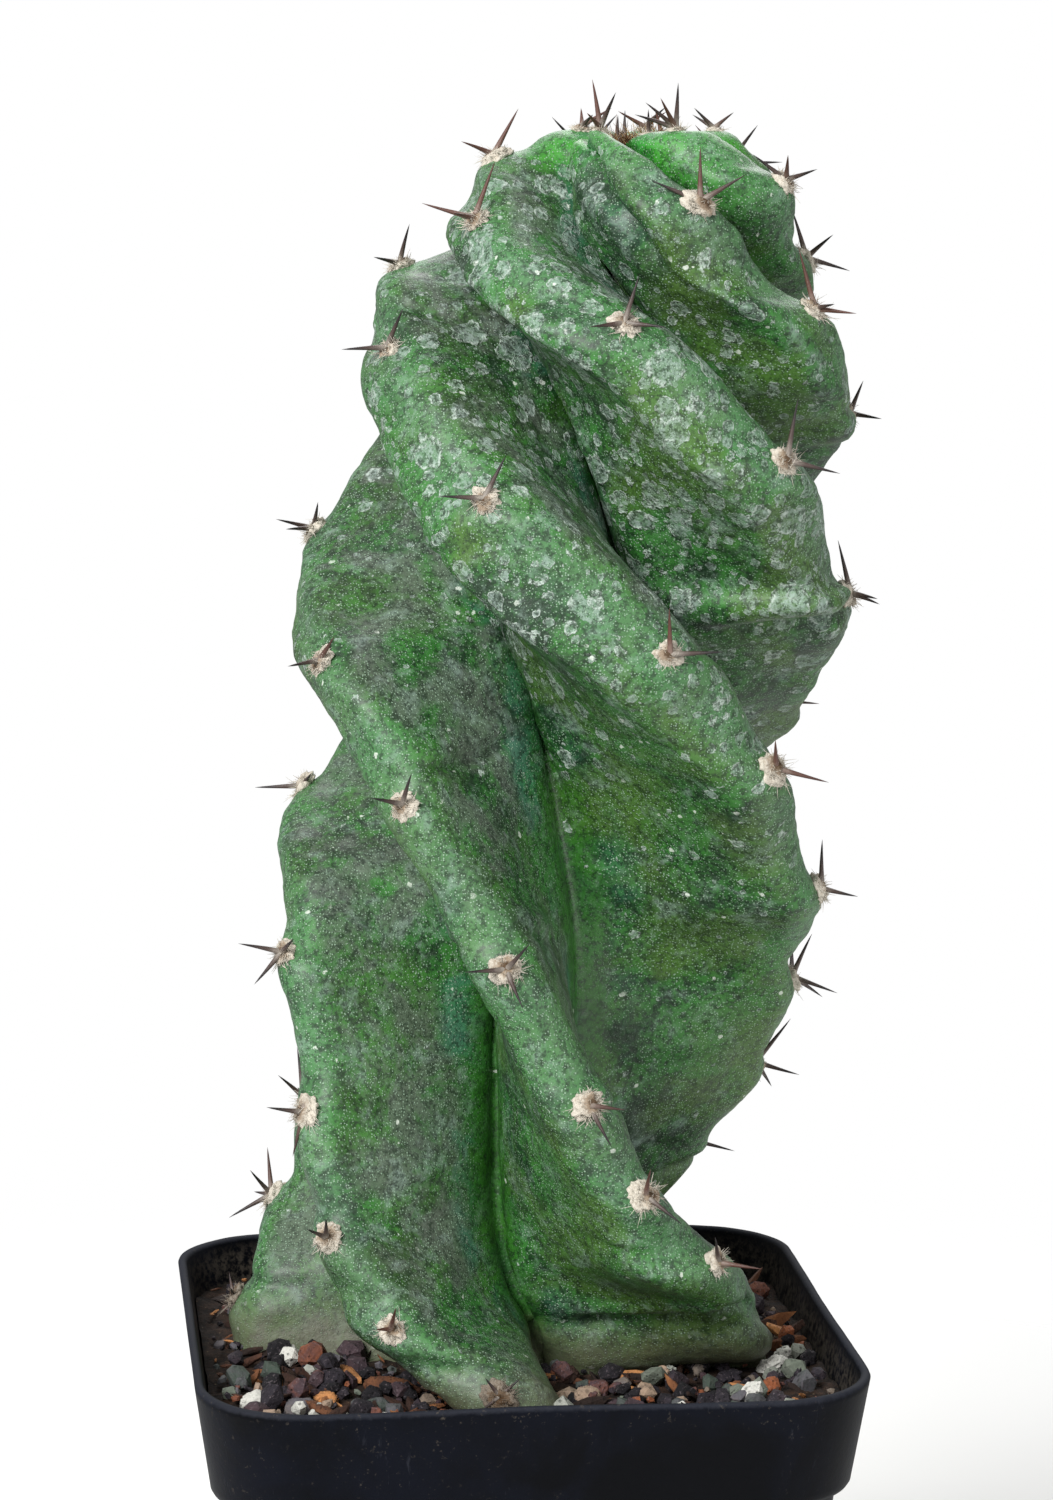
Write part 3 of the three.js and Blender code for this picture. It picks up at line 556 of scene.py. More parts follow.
@dataclass(frozen=True)
class SpineFinish:
    """Woody spines, grey at the foot and red-brown to black at the tip."""

    foot: Colour = colour("8d857b")
    middle: Colour = colour("43342f")
    tip: Colour = colour("1a1214")
    young: Colour = colour("673a2a")

    def build(self) -> bpy.types.Material:
        """Makes the material.

        Returns:
            The material.
        """
        t = Tree.material("spine_wood")
        along, tint = t.attribute("along"), t.attribute("tint")
        streak = t.noise(0.7, 4, 0.7)
        tone = t.mix(self.foot, self.middle, t.rise(along + streak * 0.3, 0.15, 0.55))
        tone = t.mix(tone, self.tip, t.rise(along + streak * 0.25, 0.5, 0.9))
        tone = t.mix(tone, self.young, t.rise(tint + streak * 0.2, 0.7, 1.0) * 0.5)
        return t.finish(
            {"Base Color": tone, "Roughness": 0.42 + streak * 0.2,
             "Normal": t.bump(t.noise(0.25, 3, 0.6), 0.06)},
            {"Specular IOR Level": 0.5},
        )


@dataclass(frozen=True)
class PotFinish:
    """Black nursery plastic with a blue sheen, scuffs, fine scratches and dust."""

    body: Colour = colour("040508")
    sheen: Colour = colour("080b14")
    scuff: Colour = colour("32343c")
    dust: Colour = colour("5c554c")

    def build(self) -> bpy.types.Material:
        """Makes the material.

        Returns:
            The material.
        """
        t = Tree.material("pot_plastic")
        edge, inner = t.attribute("edge"), t.attribute("inner")
        cloud = t.noise(22, 4, 0.6, 0.5)
        fine = t.noise(1.1, 5, 0.7)
        tone = t.mix(self.body, self.sheen, t.rise(cloud, 0.38, 0.66))
        drawn = t.noise(1.6, 4, 0.7, place=t.stretched(0.12))
        scratch = t.rise(drawn, 0.63, 0.72) * t.rise(cloud, 0.42, 0.6)
        tone = t.mix(tone, self.scuff, scratch * 0.35)
        worn = t.rise(edge + fine * 0.5, 0.85, 1.3)
        tone = t.mix(tone, self.scuff, worn * 0.55)
        dusty = t.rise(t.noise(0.9, 4, 0.7), 0.6, 0.72) * t.rise(cloud + edge * 0.2, 0.45, 0.65)
        tone = t.mix(tone, self.dust, dusty * 0.4 + inner * t.rise(fine, 0.4, 0.6) * 0.35)
        rough = 0.42 + cloud * 0.16 + worn * 0.25 + dusty * 0.3 + scratch * 0.15
        relief = fine * 0.35 + cloud * 0.5 + scratch * 0.3
        return t.finish(
            {"Base Color": tone, "Roughness": rough, "Normal": t.bump(relief, 0.12)},
            {"Specular IOR Level": 0.07},
        )


@dataclass(frozen=True)
class SoilFinish:
    """Dark potting soil."""

    name: str = "potting_soil"
    dark: Colour = colour("17110e")
    brown: Colour = colour("3a291f")
    fleck: Colour = colour("71614c")

    def build(self) -> bpy.types.Material:
        """Makes the material.

        Returns:
            The material.
        """
        t = Tree.material(self.name)
        clod = t.noise(3.2, 5, 0.65, 0.4)
        grain = t.noise(0.7, 4, 0.7)
        tone = t.mix(self.dark, self.brown, t.rise(clod * 0.6 + grain * 0.4, 0.4, 0.64))
        tone = t.mix(tone, self.fleck, t.rise(t.cells(1.1), 0.16, 0.08) * t.rise(grain, 0.4, 0.6))
        relief = clod * 0.7 + grain * 0.6
        return t.finish(
            {"Base Color": tone, "Roughness": 0.9 + grain * 0.08, "Normal": t.bump(relief, 0.7)},
            {"Specular IOR Level": 0.25},
        )


class Kind(Enum):
    """What a loose piece on the soil is made of."""

    PUMICE = "pumice"
    GRAVEL = "gravel"
    LAVA = "lava"
    BARK = "bark"


@dataclass(frozen=True)
class StoneFinish:
    """One kind of stone or chip, mottled between four colours.

    The tint that the mesh holds moves each stone along the colours. The name is also that of the
    record's material slot.
    """

    name: str
    colours: tuple[Colour, Colour, Colour, Colour]
    spot: Colour
    pits: float
    grain: float
    roughness: float = 0.8
    fibre: float = 1.0

    def build(self) -> bpy.types.Material:
        """Makes the material.

        Returns:
            The material.
        """
        t = Tree.material(self.name)
        tint = t.attribute("tint")
        place = t.stretched(self.fibre)
        mottle = t.noise(2.2, 5, 0.65, 0.5, place)
        grain = t.noise(self.grain, 4, 0.7, place=place)
        stops = tuple((position, tone) for position, tone
                      in zip((0.12, 0.38, 0.62, 0.88), self.colours))
        ramp = {"stops": (stops[0], stops[3], stops[1], stops[2])}
        tone = t.node("ValToRGB", ramp, {"Fac": tint * 0.8 + mottle * 0.5 - 0.15}, "Color")
        tone = t.mix(tone, self.spot, t.rise(grain, 0.56, 0.68) * 0.55)
        # The pits, which the bump dents, are also darkened towards black: painted shade inside the
        # holes. The darkening by grain is the stone's own speckle.
        pit = t.rise(t.cells(self.pits, place=place), 0.32, 0.12) * t.rise(mottle, 0.3, 0.6)
        tone = t.mix(tone, (0.0, 0.0, 0.0), pit * 0.55 + t.rise(grain, 0.5, 0.3) * 0.25)
        relief = grain * 0.8 + mottle * 0.6 - pit * 0.7
        return t.finish(
            {"Base Color": tone, "Roughness": self.roughness + grain * 0.12,
             "Normal": t.bump(relief, 0.32)},
            {"Specular IOR Level": 0.35},
        )


STONES = {
    Kind.PUMICE: StoneFinish(
        "pumice_stone",
        (colour("636a5e"), colour("92948b"), colour("bdbcb4"), colour("dcdad2")),
        colour("7d8476"), 0.9, 0.6, 0.85,
    ),
    Kind.GRAVEL: StoneFinish(
        "gravel_stone",
        (colour("3f4a41"), colour("57545a"), colour("72665a"), colour("a08874")),
        colour("5a5352"), 1.6, 0.5, 0.72,
    ),
    Kind.LAVA: StoneFinish(
        "lava_stone",
        (colour("121014"), colour("28232a"), colour("47363a"), colour("8a4f30")),
        colour("776c70"), 0.8, 0.5, 0.8,
    ),
    Kind.BARK: StoneFinish(
        "bark_chip",
        (colour("20140f"), colour("43291d"), colour("75492c"), colour("b87f4e")),
        colour("2c1c15"), 0.9, 0.4, 0.78, 0.4,
    ),
}
# How pale or warm each large piece is, from 0 to 1
TINTS = {
    "pumice_1": 0.75, "pumice_2": 0.9, "pumice_3": 0.35, "pumice_4": 0.92, "pumice_5": 0.85,
    "pumice_6": 1.0, "gravel_1": 0.42, "gravel_2": 0.9, "gravel_3": 1.0, "gravel_4": 0.6,
    "gravel_5": 0.1, "gravel_6": 0.38, "gravel_7": 0.85, "gravel_8": 0.5, "lava_1": 0.3,
    "lava_2": 0.0, "lava_3": 0.72, "lava_4": 0.7, "lava_5": 1.1, "lava_6": 0.35, "lava_7": 0.15,
    "bark_1": 1.0, "bark_2": 0.5, "bark_3": 0.1, "bark_4": 0.3,
}


# Meshes


@dataclass
class Shape:
    """Points in millimetres, faces and what each point holds, on the way to becoming a mesh."""

    points: np.ndarray
    faces: list
    held: Held = field(default_factory=dict)

    def piece(self, name: str, material: bpy.types.Material, slot: str,
              smooth: bool = True) -> bpy.types.Object:
        """Makes the Blender object and lets it ride on the pot's body.

        Args:
            name: The piece's name.
            material: Its material.
            slot: The record's material slot; not used.
            smooth: Whether its faces are shaded smooth.

        Returns:
            The object.
        """
        mesh = bpy.data.meshes.new(name)
        mesh.from_pydata((self.points * MM).tolist(), [], self.faces)
        for key, values in self.held.items():
            holder = mesh.attributes.new(key, "FLOAT", "POINT")
            holder.data.foreach_set("value", np.asarray(values, np.float32))
        mesh.polygons.foreach_set("use_smooth", [smooth] * len(mesh.polygons))
        mesh.materials.append(material)
        mesh.update()
        piece = bpy.data.objects.new(name, mesh)
        bpy.context.scene.collection.objects.link(piece)
        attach(piece, BODY)
        log.info("%s: %d faces", name, len(mesh.polygons))
        return piece


def joined(shapes: Sequence[Shape]) -> Shape:
    """Puts shapes that hold the same values into one.

    Args:
        shapes: The shapes.

    Returns:
        One shape.
    """
    faces, start = [], 0
    for shape in shapes:
        faces += [tuple(start + corner for corner in face) for face in shape.faces]
        start += len(shape.points)
    held = {key: np.concatenate([s.held[key] for s in shapes]) for key in shapes[0].held}
    return Shape(np.concatenate([s.points for s in shapes]), faces, held)


def grid_faces(rows: int, count: int) -> list:
    """Faces between closed rings that follow each other, anticlockwise seen from the last.

    Args:
        rows: How many rings there are.
        count: Points in a ring.

    Returns:
        The faces.
    """
    return [
        (i * count + j, i * count + (j + 1) % count, (i + 1) * count + (j + 1) % count,
         (i + 1) * count + j)
        for i in range(rows - 1) for j in range(count)
    ]


def capped(rings: np.ndarray, ends: Sequence[Sequence[float]]) -> Mesh:
    """Closes a pile of rings with a fan at each end.

    Args:
        rings: The points of each ring, anticlockwise seen from the last.
        ends: The middle of the first ring's fan and that of the last one's.

    Returns:
        The points and the faces.
    """
    rows, count = rings.shape[:2]
    faces = grid_faces(rows, count)
    end, last = rows * count, (rows - 1) * count
    faces += [(end, (j + 1) % count, j) for j in range(count)]
    faces += [(end + 1, last + j, last + (j + 1) % count) for j in range(count)]
    return np.concatenate([rings.reshape(-1, 3), ends]), faces


def taken(mesh: bmesh.types.BMesh) -> Mesh:
    """Takes the points and the faces out of an edit mesh, which is freed.

    Args:
        mesh: The edit mesh.

    Returns:
        The points and the faces.
    """
    mesh.verts.index_update()
    points = np.array([v.co[:] for v in mesh.verts])
    faces = [tuple(v.index for v in f.verts) for f in mesh.faces]
    mesh.free()
    return points, faces


def ball(divisions: int) -> Mesh:
    """A unit ball of triangles.

    Args:
        divisions: How finely it is divided.

    Returns:
        The points and the faces.
    """
    mesh = bmesh.new()
    bmesh.ops.create_icosphere(mesh, subdivisions=divisions, radius=1)
    return taken(mesh)


def tube(line: np.ndarray, radii: np.ndarray, sides: int) -> Mesh:
    """A closed tube along a line.

    Args:
        line: The points of its middle.
        radii: Its radius at each point.
        sides: How many sides it has.

    Returns:
        The points and the faces.
    """
    along = unit(np.gradient(line, axis=0))
    helper = np.array([0, 0, 1.0]) if abs(along[0, 2]) < 0.9 else np.array([1.0, 0, 0])
    side = unit(np.cross(along, helper))
    other = np.cross(along, side)
    turns = (2 * np.pi * np.arange(sides) / sides)[None, :, None]
    ring = np.cos(turns) * side[:, None] + np.sin(turns) * other[:, None]
    points = (line[:, None] + ring * radii[:, None, None]).reshape(-1, 3)
    faces = grid_faces(len(line), sides)
    last = (len(line) - 1) * sides
    faces += [tuple(range(sides))[::-1], tuple(last + j for j in range(sides))]
    return points, faces


def hair(start: np.ndarray, reach: np.ndarray, curl: np.ndarray, radii: np.ndarray
         ) -> Mesh:
    """A three-sided hair.

    Args:
        start: Its foot.
        reach: The way from its foot to its tip, before it curls.
        curl: How far the curl moves its tip.
        radii: Its radius at the foot, half way and at the tip.

    Returns:
        The points and the faces.
    """
    line = np.array([start + reach * s + curl * s * s for s in (0, 0.5, 1.0)])
    return tube(line, radii, 3)


def even(points: np.ndarray, **values: float) -> Held:
    """Values that are the same at every point."""
    return {key: np.full(len(points), value) for key, value in values.items()}


def unit(vectors: np.ndarray) -> np.ndarray:
    """Scales vectors to a length of 1."""
    return vectors / np.maximum(np.linalg.norm(vectors, axis=-1, keepdims=True), 1e-9)


# The stem


@dataclass(frozen=True)
class Rib:
    """One rib's course, thickness and areoles, each down the crest from the growing tip.

    Course holds distance, turn in degrees and extra radius. Heft is a factor on the thickness,
    belly one on the waist of the lower flank, and fold the share of the way to the next rib at
    which the crease between them lies. Marked is how many dried water marks it bears, from 0 to 1.
    """

    course: tuple[Row, ...]
    heft: tuple[Row, ...]
    belly: tuple[Row, ...]
    fold: tuple[Row, ...]
    areoles: Row
    marked: float


RIBS = (
    Rib(
        ((0, -140, 0), (3, -100, 0), (10.5, -45, 0), (29, 18, 0), (40, 46, -1.8), (46, 60, 0),
         (56, 80, 0), (64.5, 100, -1.2), (72, 115, -3), (81.5, 131, -2), (94.5, 151, 0),
         (109.5, 171, 0), (124.5, 190, 0), (144.5, 211, 0), (164.5, 228, 0), (179.5, 238, 0),
         (187.5, 243, 0), (199, 257, 0.6), (206, 261, 1), (210.3, 262, 1)),
        ((0, 0.55), (18, 0.62), (40, 1), (185, 1), (200, 1.3), (210.3, 1.4)),
        ((0, 1), (30, 1.3), (64, 1.3), (110, 1), (210, 1)),
        ((0, 0.5), (210, 0.5)),
        (4, 10.5, 29, 46, 64.5, 81.5, 98.5, 116.5, 136.5, 156.5, 174.5, 189, 202.5),
        0.75,
    ),
    Rib(
        ((0, -62, 0), (3, -22, 0), (9.5, 27.6, 0), (17, 45, -0.5), (25.5, 60, 1), (33, 76, 0),
         (38, 96, -1), (43.5, 120, -1), (51.5, 134, 0), (62, 148, 0), (76.5, 169, 0),
         (91.5, 192, 0), (104.5, 212, 0), (114.5, 228, 0), (120.5, 240, 0), (126.5, 258, 0),
         (134.5, 278, 0), (143.5, 291, 0), (165.5, 305, 0), (174, 311, 1.5), (183, 317, 0),
         (195, 335, 0), (203.5, 358, 0), (208, 366, 0.3), (210.3, 369, 0.3)),
        ((0, 1), (9, 1.2), (22, 1.2), (32, 1), (190, 1), (203, 1.15), (210.3, 1.2)),
        ((0, 1), (210, 1)),
        ((0, 0.5), (100, 0.5), (150, 0.38), (210, 0.38)),
        (5.5, 9.5, 25.5, 38.5, 56, 72, 89.5, 106.5, 123.5, 143.5, 165.5, 183, 195, 203.5),
        0.38,
    ),
    Rib(
        ((0, 5, 0), (3, 45, 0), (10, 97, 0), (21.5, 130, 0), (30.5, 158, 0), (41, 182, 0),
         (53.5, 206, 0), (66, 226, 0), (78.5, 248, -0.8), (86.5, 268, 0), (93.5, 285, 1.2),
         (99, 300, 1), (107.5, 314, 0.8), (118, 326, 0), (140.5, 350.5, 0), (160, 369.5, 0),
         (174.5, 385, 0), (187, 405.5, 0), (194, 424, 0), (200, 442, 0.6), (206, 453, 2),
         (210.3, 456, 2)),
        ((0, 1), (178, 1), (188, 1.25), (195, 1.05), (203, 1.45), (210.3, 1.6)),
        ((0, 1), (140, 1), (160, 1.5), (185, 1.5), (195, 1.6), (204, 2), (210, 2.1)),
        ((0, 0.5), (60, 0.5), (82, 0.26), (108, 0.3), (135, 0.42), (210, 0.5)),
        (5.5, 11.5, 23, 33, 47, 64, 82.5, 99, 118, 140.5, 160, 174.5, 187),
        0.5,
    ),
    Rib(
        ((0, 75, 0), (3, 115, 0), (10, 165, 0), (21.5, 200, 0), (31.5, 230, 0), (36, 238, 0),
         (39.5, 256, 2), (42.5, 269, 4), (49, 284, 2.5), (53.5, 293, 0), (73.5, 335.5, 0),
         (95, 376, 0), (113, 405, 0), (134, 435, 0), (140.5, 447, 0), (147.5, 457, -1.5),
         (154.5, 465, -0.5), (162.5, 474, 1), (170.5, 482, 1.2), (179.5, 493, 0),
         (188.5, 502, 0), (199.5, 512, 0), (210.3, 520, 0)),
        ((0, 1), (70, 1), (86, 1.3), (100, 1.1), (115, 1), (210.3, 1)),
        ((0, 1), (60, 1.1), (80, 1.7), (110, 1.6), (130, 1.1), (210, 1)),
        ((0, 0.5), (20, 0.5), (40, 0.34), (64, 0.34), (90, 0.45), (210, 0.5)),
        (6.5, 11.5, 21.5, 30.5, 41, 53.5, 73.5, 95, 113, 134, 151.5, 167.5, 182.5, 197.5),
        0.85,
    ),
    Rib(
        ((0, 148, 0), (3, 188, 0), (10, 238, 0), (21.5, 267, 1.6), (32, 298, 1), (48, 358, 0),
         (68.5, 400, 0), (84, 428, -0.8), (90, 438, -0.5), (97.5, 457, 0), (104.5, 471, -1.5),
         (108.5, 480, -1.8), (113.5, 488, 0), (118.5, 495, 0), (129.5, 506, 0), (144.5, 519, 0),
         (164.5, 534, 0), (179.5, 545, 0), (189.5, 553, 0), (199.5, 561, 0), (210.3, 568, 0)),
        ((0, 1), (210.3, 1)),
        ((0, 1), (28, 1.2), (45, 1.7), (85, 1.6), (115, 1.2), (210, 1)),
        ((0, 0.5), (20, 0.42), (60, 0.42), (90, 0.5), (210, 0.5)),
        (5, 10.5, 21.5, 32, 48, 68.5, 90, 110.5, 130.5, 149.5, 167.5, 184.5, 199.5),
        1.0,
    ),
)

# Where the spines of the areoles in front point: right and up from the areole, in millimetres
FRONT_SPINES = {
    (0, 1): ((-1, 6.9), (2.2, 5.2), (-1.9, 2.2)),
    (0, 2): ((-0.1, 7.8), (-7.3, 3), (6.6, 4)),
    (0, 3): ((-2.6, 8.4), (5.6, -0.7), (2.6, 0.9)),
    (0, 4): ((4.4, -0.4), (1.5, 5)),
    (1, 1): ((0.3, 6.6), (-4.4, 3.8), (-6, 2.1), (-2.4, 4.2)),
    (1, 2): ((-0.1, 3.4), (-4.9, 3.4), (4, 1.5)),
    (1, 8): ((-7.1, -0.4), (1.6, 2.6)),
    (1, 9): ((1.9, 2.9), (-6.2, 1.8), (-3.8, -4.4)),
    (1, 10): ((-5.3, 1.5), (-1.5, -6.6)),
    (1, 11): ((0.4, 4.1), (-2.3, 2.6)),
    (1, 12): ((1, 4.7), (-2, 1)),
    (2, 6): ((1.2, 4.4), (-5.1, 1.8), (-3.7, 0.6)),
    (2, 7): ((2.6, 4.1), (-4.4, -0.3)),
    (2, 8): ((1.2, 5.1), (-4.1, 1.8)),
    (2, 9): ((3.2, 4.4), (-5.9, 0.3), (2.2, -4.7)),
    (2, 10): ((5.1, 0.3), (3.2, -5.6)),
    (2, 11): ((0.3, 5.1), (5.1, -3.2)),
    (2, 12): ((-0.9, 5.1), (6.2, -0.3)),
    (3, 4): ((1.3, 5.9), (-3.5, 1.2)),
    (3, 5): ((2.6, 5.9), (-6.2, 0)),
    (3, 6): ((2.9, 6.2), (-6.6, 0.4)),
    (3, 7): ((-0.3, 6.6), (7.6, 0.4)),
    (3, 8): ((-0.6, 4.7), (7.4, -2.1)),
    (3, 9): ((-0.3, 7.4), (5, -0.6)),
    (4, 2): ((3.4, 6.5), (-4.7, 2.1)),
    (4, 3): ((2.9, 8.5), (-7.6, 1.8), (-2.9, 0.7)),
    (4, 4): ((2.1, 6.6), (-4.7, -0.4), (6.2, -0.3)),
    (4, 5): ((1.2, 8.8), (7.4, -1.9)),
    (4, 6): ((-1.8, 7.6), (4.1, -0.9), (3.7, 0)),
}


@dataclass
class StemForm:
    """The form of the five-ribbed spiral stem, in millimetres."""

    crest: tuple[Row, ...] = (
        (0, 268.3), (4, 269.6), (8, 271.4), (12, 271.5), (16, 270), (19.5, 267.5), (22.5, 263.7),
        (24.6, 259), (27.5, 253.5), (31, 248), (34, 243), (36.3, 238), (38.4, 231), (39.8, 222),
        (40.8, 212), (41.2, 200), (41, 180), (40.8, 154), (40.3, 125), (39.7, 100), (39.3, 84),
    )
    valley: tuple[Row, ...] = (
        (0, 267.6), (1.4, 266.8), (2.2, 265.4), (2.9, 263.6), (3.6, 261.2), (4.2, 258.6), (4.9, 256),
        (5.8, 252.8), (6.8, 249.4), (7.5, 245.4), (8, 241.4), (8.4, 237), (8.7, 230.6), (9, 222),
        (9.2, 212), (9.3, 200), (9.3, 180), (9.3, 154), (9.4, 125), (10, 100), (11, 84),
    )
    lean: tuple[Row, ...] = (
        (66, -1.5), (94, 1), (154, 7.5), (201.5, 11), (239, 16), (260, 19), (272, 20.5),
    )
    lower_shoulder: tuple[Row, ...] = ((60, 4.6), (165, 4.8), (200, 7.6), (280, 7.6))
    upper_shoulder: tuple[Row, ...] = ((60, 4.0), (280, 4.2))
    lower_waist: tuple[Row, ...] = ((60, 4.4), (165, 4.6), (200, 6.4), (280, 6))
    upper_waist: float = 4.2
    base: Pair = (-3, -4)
    front_turn: float = math.radians(-6.57)
    cap_depth: float = 5.2
    waist_share: float = 0.217
    cap_limit: float = 0.45
    shoulder_limit: float = 0.62
    waist_limit: float = 0.44
    waist_radius: float = 0.55
    widest_gap: float = 1.22
    max_stretch: float = 2.2
    twist_step: float = 1.5
    scallop: float = 0.9
    scallop_phase: float = 0.14
    scallop_start: float = 8
    scallop_growth: float = 12
    scallop_limits: Pair = (0.5, 1.2)
    usual_gap: float = 22
    levels: int = 350
    steps: tuple[int, int, int] = (8, 10, 7)
    top: float = 1.6
    root_bottom: float = 74.0

    def __post_init__(self) -> None:
        """Turns the tables into curves along the crest."""
        crest = np.array(self.crest)
        self.marks = np.concatenate([[0], np.cumsum(np.hypot(*np.diff(crest, axis=0).T))])
        self.full = float(self.marks[-1])
        self.crest_radius = SmoothCurve(self.marks, crest[:, 0])
        self.crest_height = SmoothCurve(self.marks, crest[:, 1])
        valley = np.array(self.valley)
        self.valley_radius = SmoothCurve(self.marks, valley[:, 0])
        self.valley_height = SmoothCurve(self.marks, valley[:, 1])
        self.away = curve_of(self.lean)
        self.shoulders = (curve_of(self.upper_shoulder), curve_of(self.lower_shoulder))
        self.lower_waists = curve_of(self.lower_waist)
        self.turns = [curve_of(rib.course) for rib in RIBS]
        self.swells = [curve_of(rib.course, 2) for rib in RIBS]
        self.hefts = [curve_of(rib.heft) for rib in RIBS]
        self.bellies = [curve_of(rib.belly) for rib in RIBS]
        self.folds = [curve_of(rib.fold) for rib in RIBS]

    def swelling(self, rib: int, reach: float) -> float:
        """How far the crest swells round each areole and draws in between them.

        Args:
            rib: The rib's number.
            reach: Distance down the crest.

        Returns:
            The extra radius.
        """
        areoles = RIBS[rib].areoles
        marks = (0, *areoles, areoles[-1] + self.usual_gap)
        i = len(marks) - 2
        while i > 0 and reach < marks[i]:
            i -= 1
        gap = marks[i + 1] - marks[i]
        least, most = self.scallop_limits
        size = min(max((reach - self.scallop_start) / self.scallop_growth, 0), 1)
        size *= min(max(gap / self.usual_gap, least), most)
        phase = (reach - marks[i]) / gap - self.scallop_phase
        return self.scallop * size * math.cos(2 * math.pi * phase)

    def turn(self, rib: int, reach: float) -> float:
        """The turn of a rib's crest from the front, in radians."""
        return math.radians(self.turns[rib].at(reach))

    def twist(self, rib: int, reach: float) -> float:
        """How fast a rib turns.

        Args:
            rib: The rib's number.
            reach: Distance down the crest.

        Returns:
            Radians for each millimetre down the crest.
        """
        start, end = max(reach - self.twist_step, 0), reach + self.twist_step
        return abs(self.turn(rib, end) - self.turn(rib, start)) / (end - start)

    def place(self, radius: np.ndarray, turn: np.ndarray, height: np.ndarray) -> np.ndarray:
        """Points round the leaning axis.

        Args:
            radius: Distance from the axis.
            turn: Turn from the front, in radians.
            height: Height above the ground.

        Returns:
            The points.
        """
        away = np.array([self.away.at(z) for z in np.atleast_1d(height)])
        way = turn + self.front_turn
        x = self.base[0] + away * math.cos(self.front_turn) + radius * np.sin(way)
        y = self.base[1] + away * math.sin(self.front_turn) - radius * np.cos(way)
        return np.stack([x, y, np.broadcast_to(height, x.shape)], axis=-1)

    def side(self, crest: float, core: float, gap: float, shoulder: float, waist: float,
             twist: float) -> tuple[np.ndarray, np.ndarray, np.ndarray]:
        """One side of a rib in a level cut, from its crest to the crease.

        Args:
            crest: Radius of the crest.
            core: Radius of the crease.
            gap: Turn from the crest to the crease.
            shoulder: Half thickness near the crest.
            waist: Half thickness near the core.
            twist: How fast the rib turns.

        Returns:
            The radius, the turn from the crest and the share of the rise, for each point.
        """
        spread = crest * math.tan(min(gap, self.widest_gap))
        wide = min(shoulder * self.stretch(crest * twist), self.shoulder_limit * spread)
        stretch = self.stretch(self.waist_radius * crest * twist)
        narrow = min(waist * stretch, self.waist_limit * spread)
        cap = min(self.cap_depth, self.cap_limit * crest)
        valley = (core * math.cos(gap), core * math.sin(gap))
        waist_at = valley[0] + self.waist_share * (crest - cap - valley[0])
        run = (valley[1] - narrow) / math.cos(gap)
        bend = (valley[0] + run * math.sin(gap), narrow)
        cap_steps, flank_steps, fillet_steps = self.steps
        t = np.pi / 2 * np.arange(cap_steps) / cap_steps
        s = np.arange(flank_steps) / flank_steps
        q = np.arange(fillet_steps + 1) / fillet_steps
        out = np.concatenate([
            crest - cap * (1 - np.cos(t)),
            crest - cap + (waist_at - crest + cap) * s,
            (1 - q) ** 2 * waist_at + 2 * q * (1 - q) * bend[0] + q * q * valley[0],
        ])
        across = np.concatenate([
            wide * np.sin(t),
            wide + (narrow - wide) * (s * s * (3 - 2 * s) if narrow < wide else s),
            (1 - q) ** 2 * narrow + 2 * q * (1 - q) * bend[1] + q * q * valley[1],
        ])
        radius = np.hypot(out, across)
        share = np.clip((radius - core) / (crest - core), 0, 1)
        return radius, np.minimum(np.arctan2(across, out), gap), share

    def stretch(self, slant: float) -> float:
        """How much thicker a level cut is where the rib runs aslant."""
        return math.sqrt(1 + min(slant ** 2, self.max_stretch))

    def ring(self, reach: float) -> tuple[np.ndarray, Held]:
        """One closed ring of the stem.

        Args:
            reach: Distance down the crest.

        Returns:
            The points, and for each the distance from its crest and from the crease, 1 on the
            lower side of a rib, and the rib's number.
        """
        core = self.valley_radius.at(reach)
        top, low = self.crest_height.at(reach), self.valley_height.at(reach)
        points, held = [], {"away": [], "left": [], "lower": [], "rib": []}
        for rib in range(len(RIBS)):
            follower = (rib + 1) % len(RIBS)
            turn = self.turn(rib, reach)
            after = self.turn(follower, reach) + (2 * math.pi if follower == 0 else 0)
            split = self.folds[rib].at(reach) * (after - turn)
            flanks = ((rib, split, turn, 1), (follower, after - turn - split, after, -1))
            for number, gap, start, way in flanks:
                lower = way < 0
                waist = self.upper_waist
                if lower:
                    waist = self.lower_waists.at(top) * self.bellies[number].at(reach)
                radius, offset, share = self.side(
                    self.crest_radius.at(reach) + self.swells[number].at(reach)
                    + self.swelling(number, reach),
                    core, gap, self.shoulders[lower].at(top) * self.hefts[number].at(reach),
                    waist, self.twist(number, reach),
                )
                flank = self.place(radius, start + way * offset, low + (top - low) * share)
                steps = np.linalg.norm(np.diff(flank, axis=0), axis=1)
                away = np.concatenate([[0], np.cumsum(steps)])
                keep = slice(-2, 0, -1) if lower else slice(None)
                points.append(flank[keep])
                held["away"].append(away[keep])
                held["left"].append((away[-1] - away)[keep])
                held["lower"].append(np.full(len(away), float(lower))[keep])
                held["rib"].append(np.full(len(away), number)[keep])
        return np.concatenate(points), {key: np.concatenate(rows) for key, rows in held.items()}

    def column(self, rib: int) -> int:
        """The place of a rib's crest in a ring."""
        return rib * 2 * sum(self.steps)


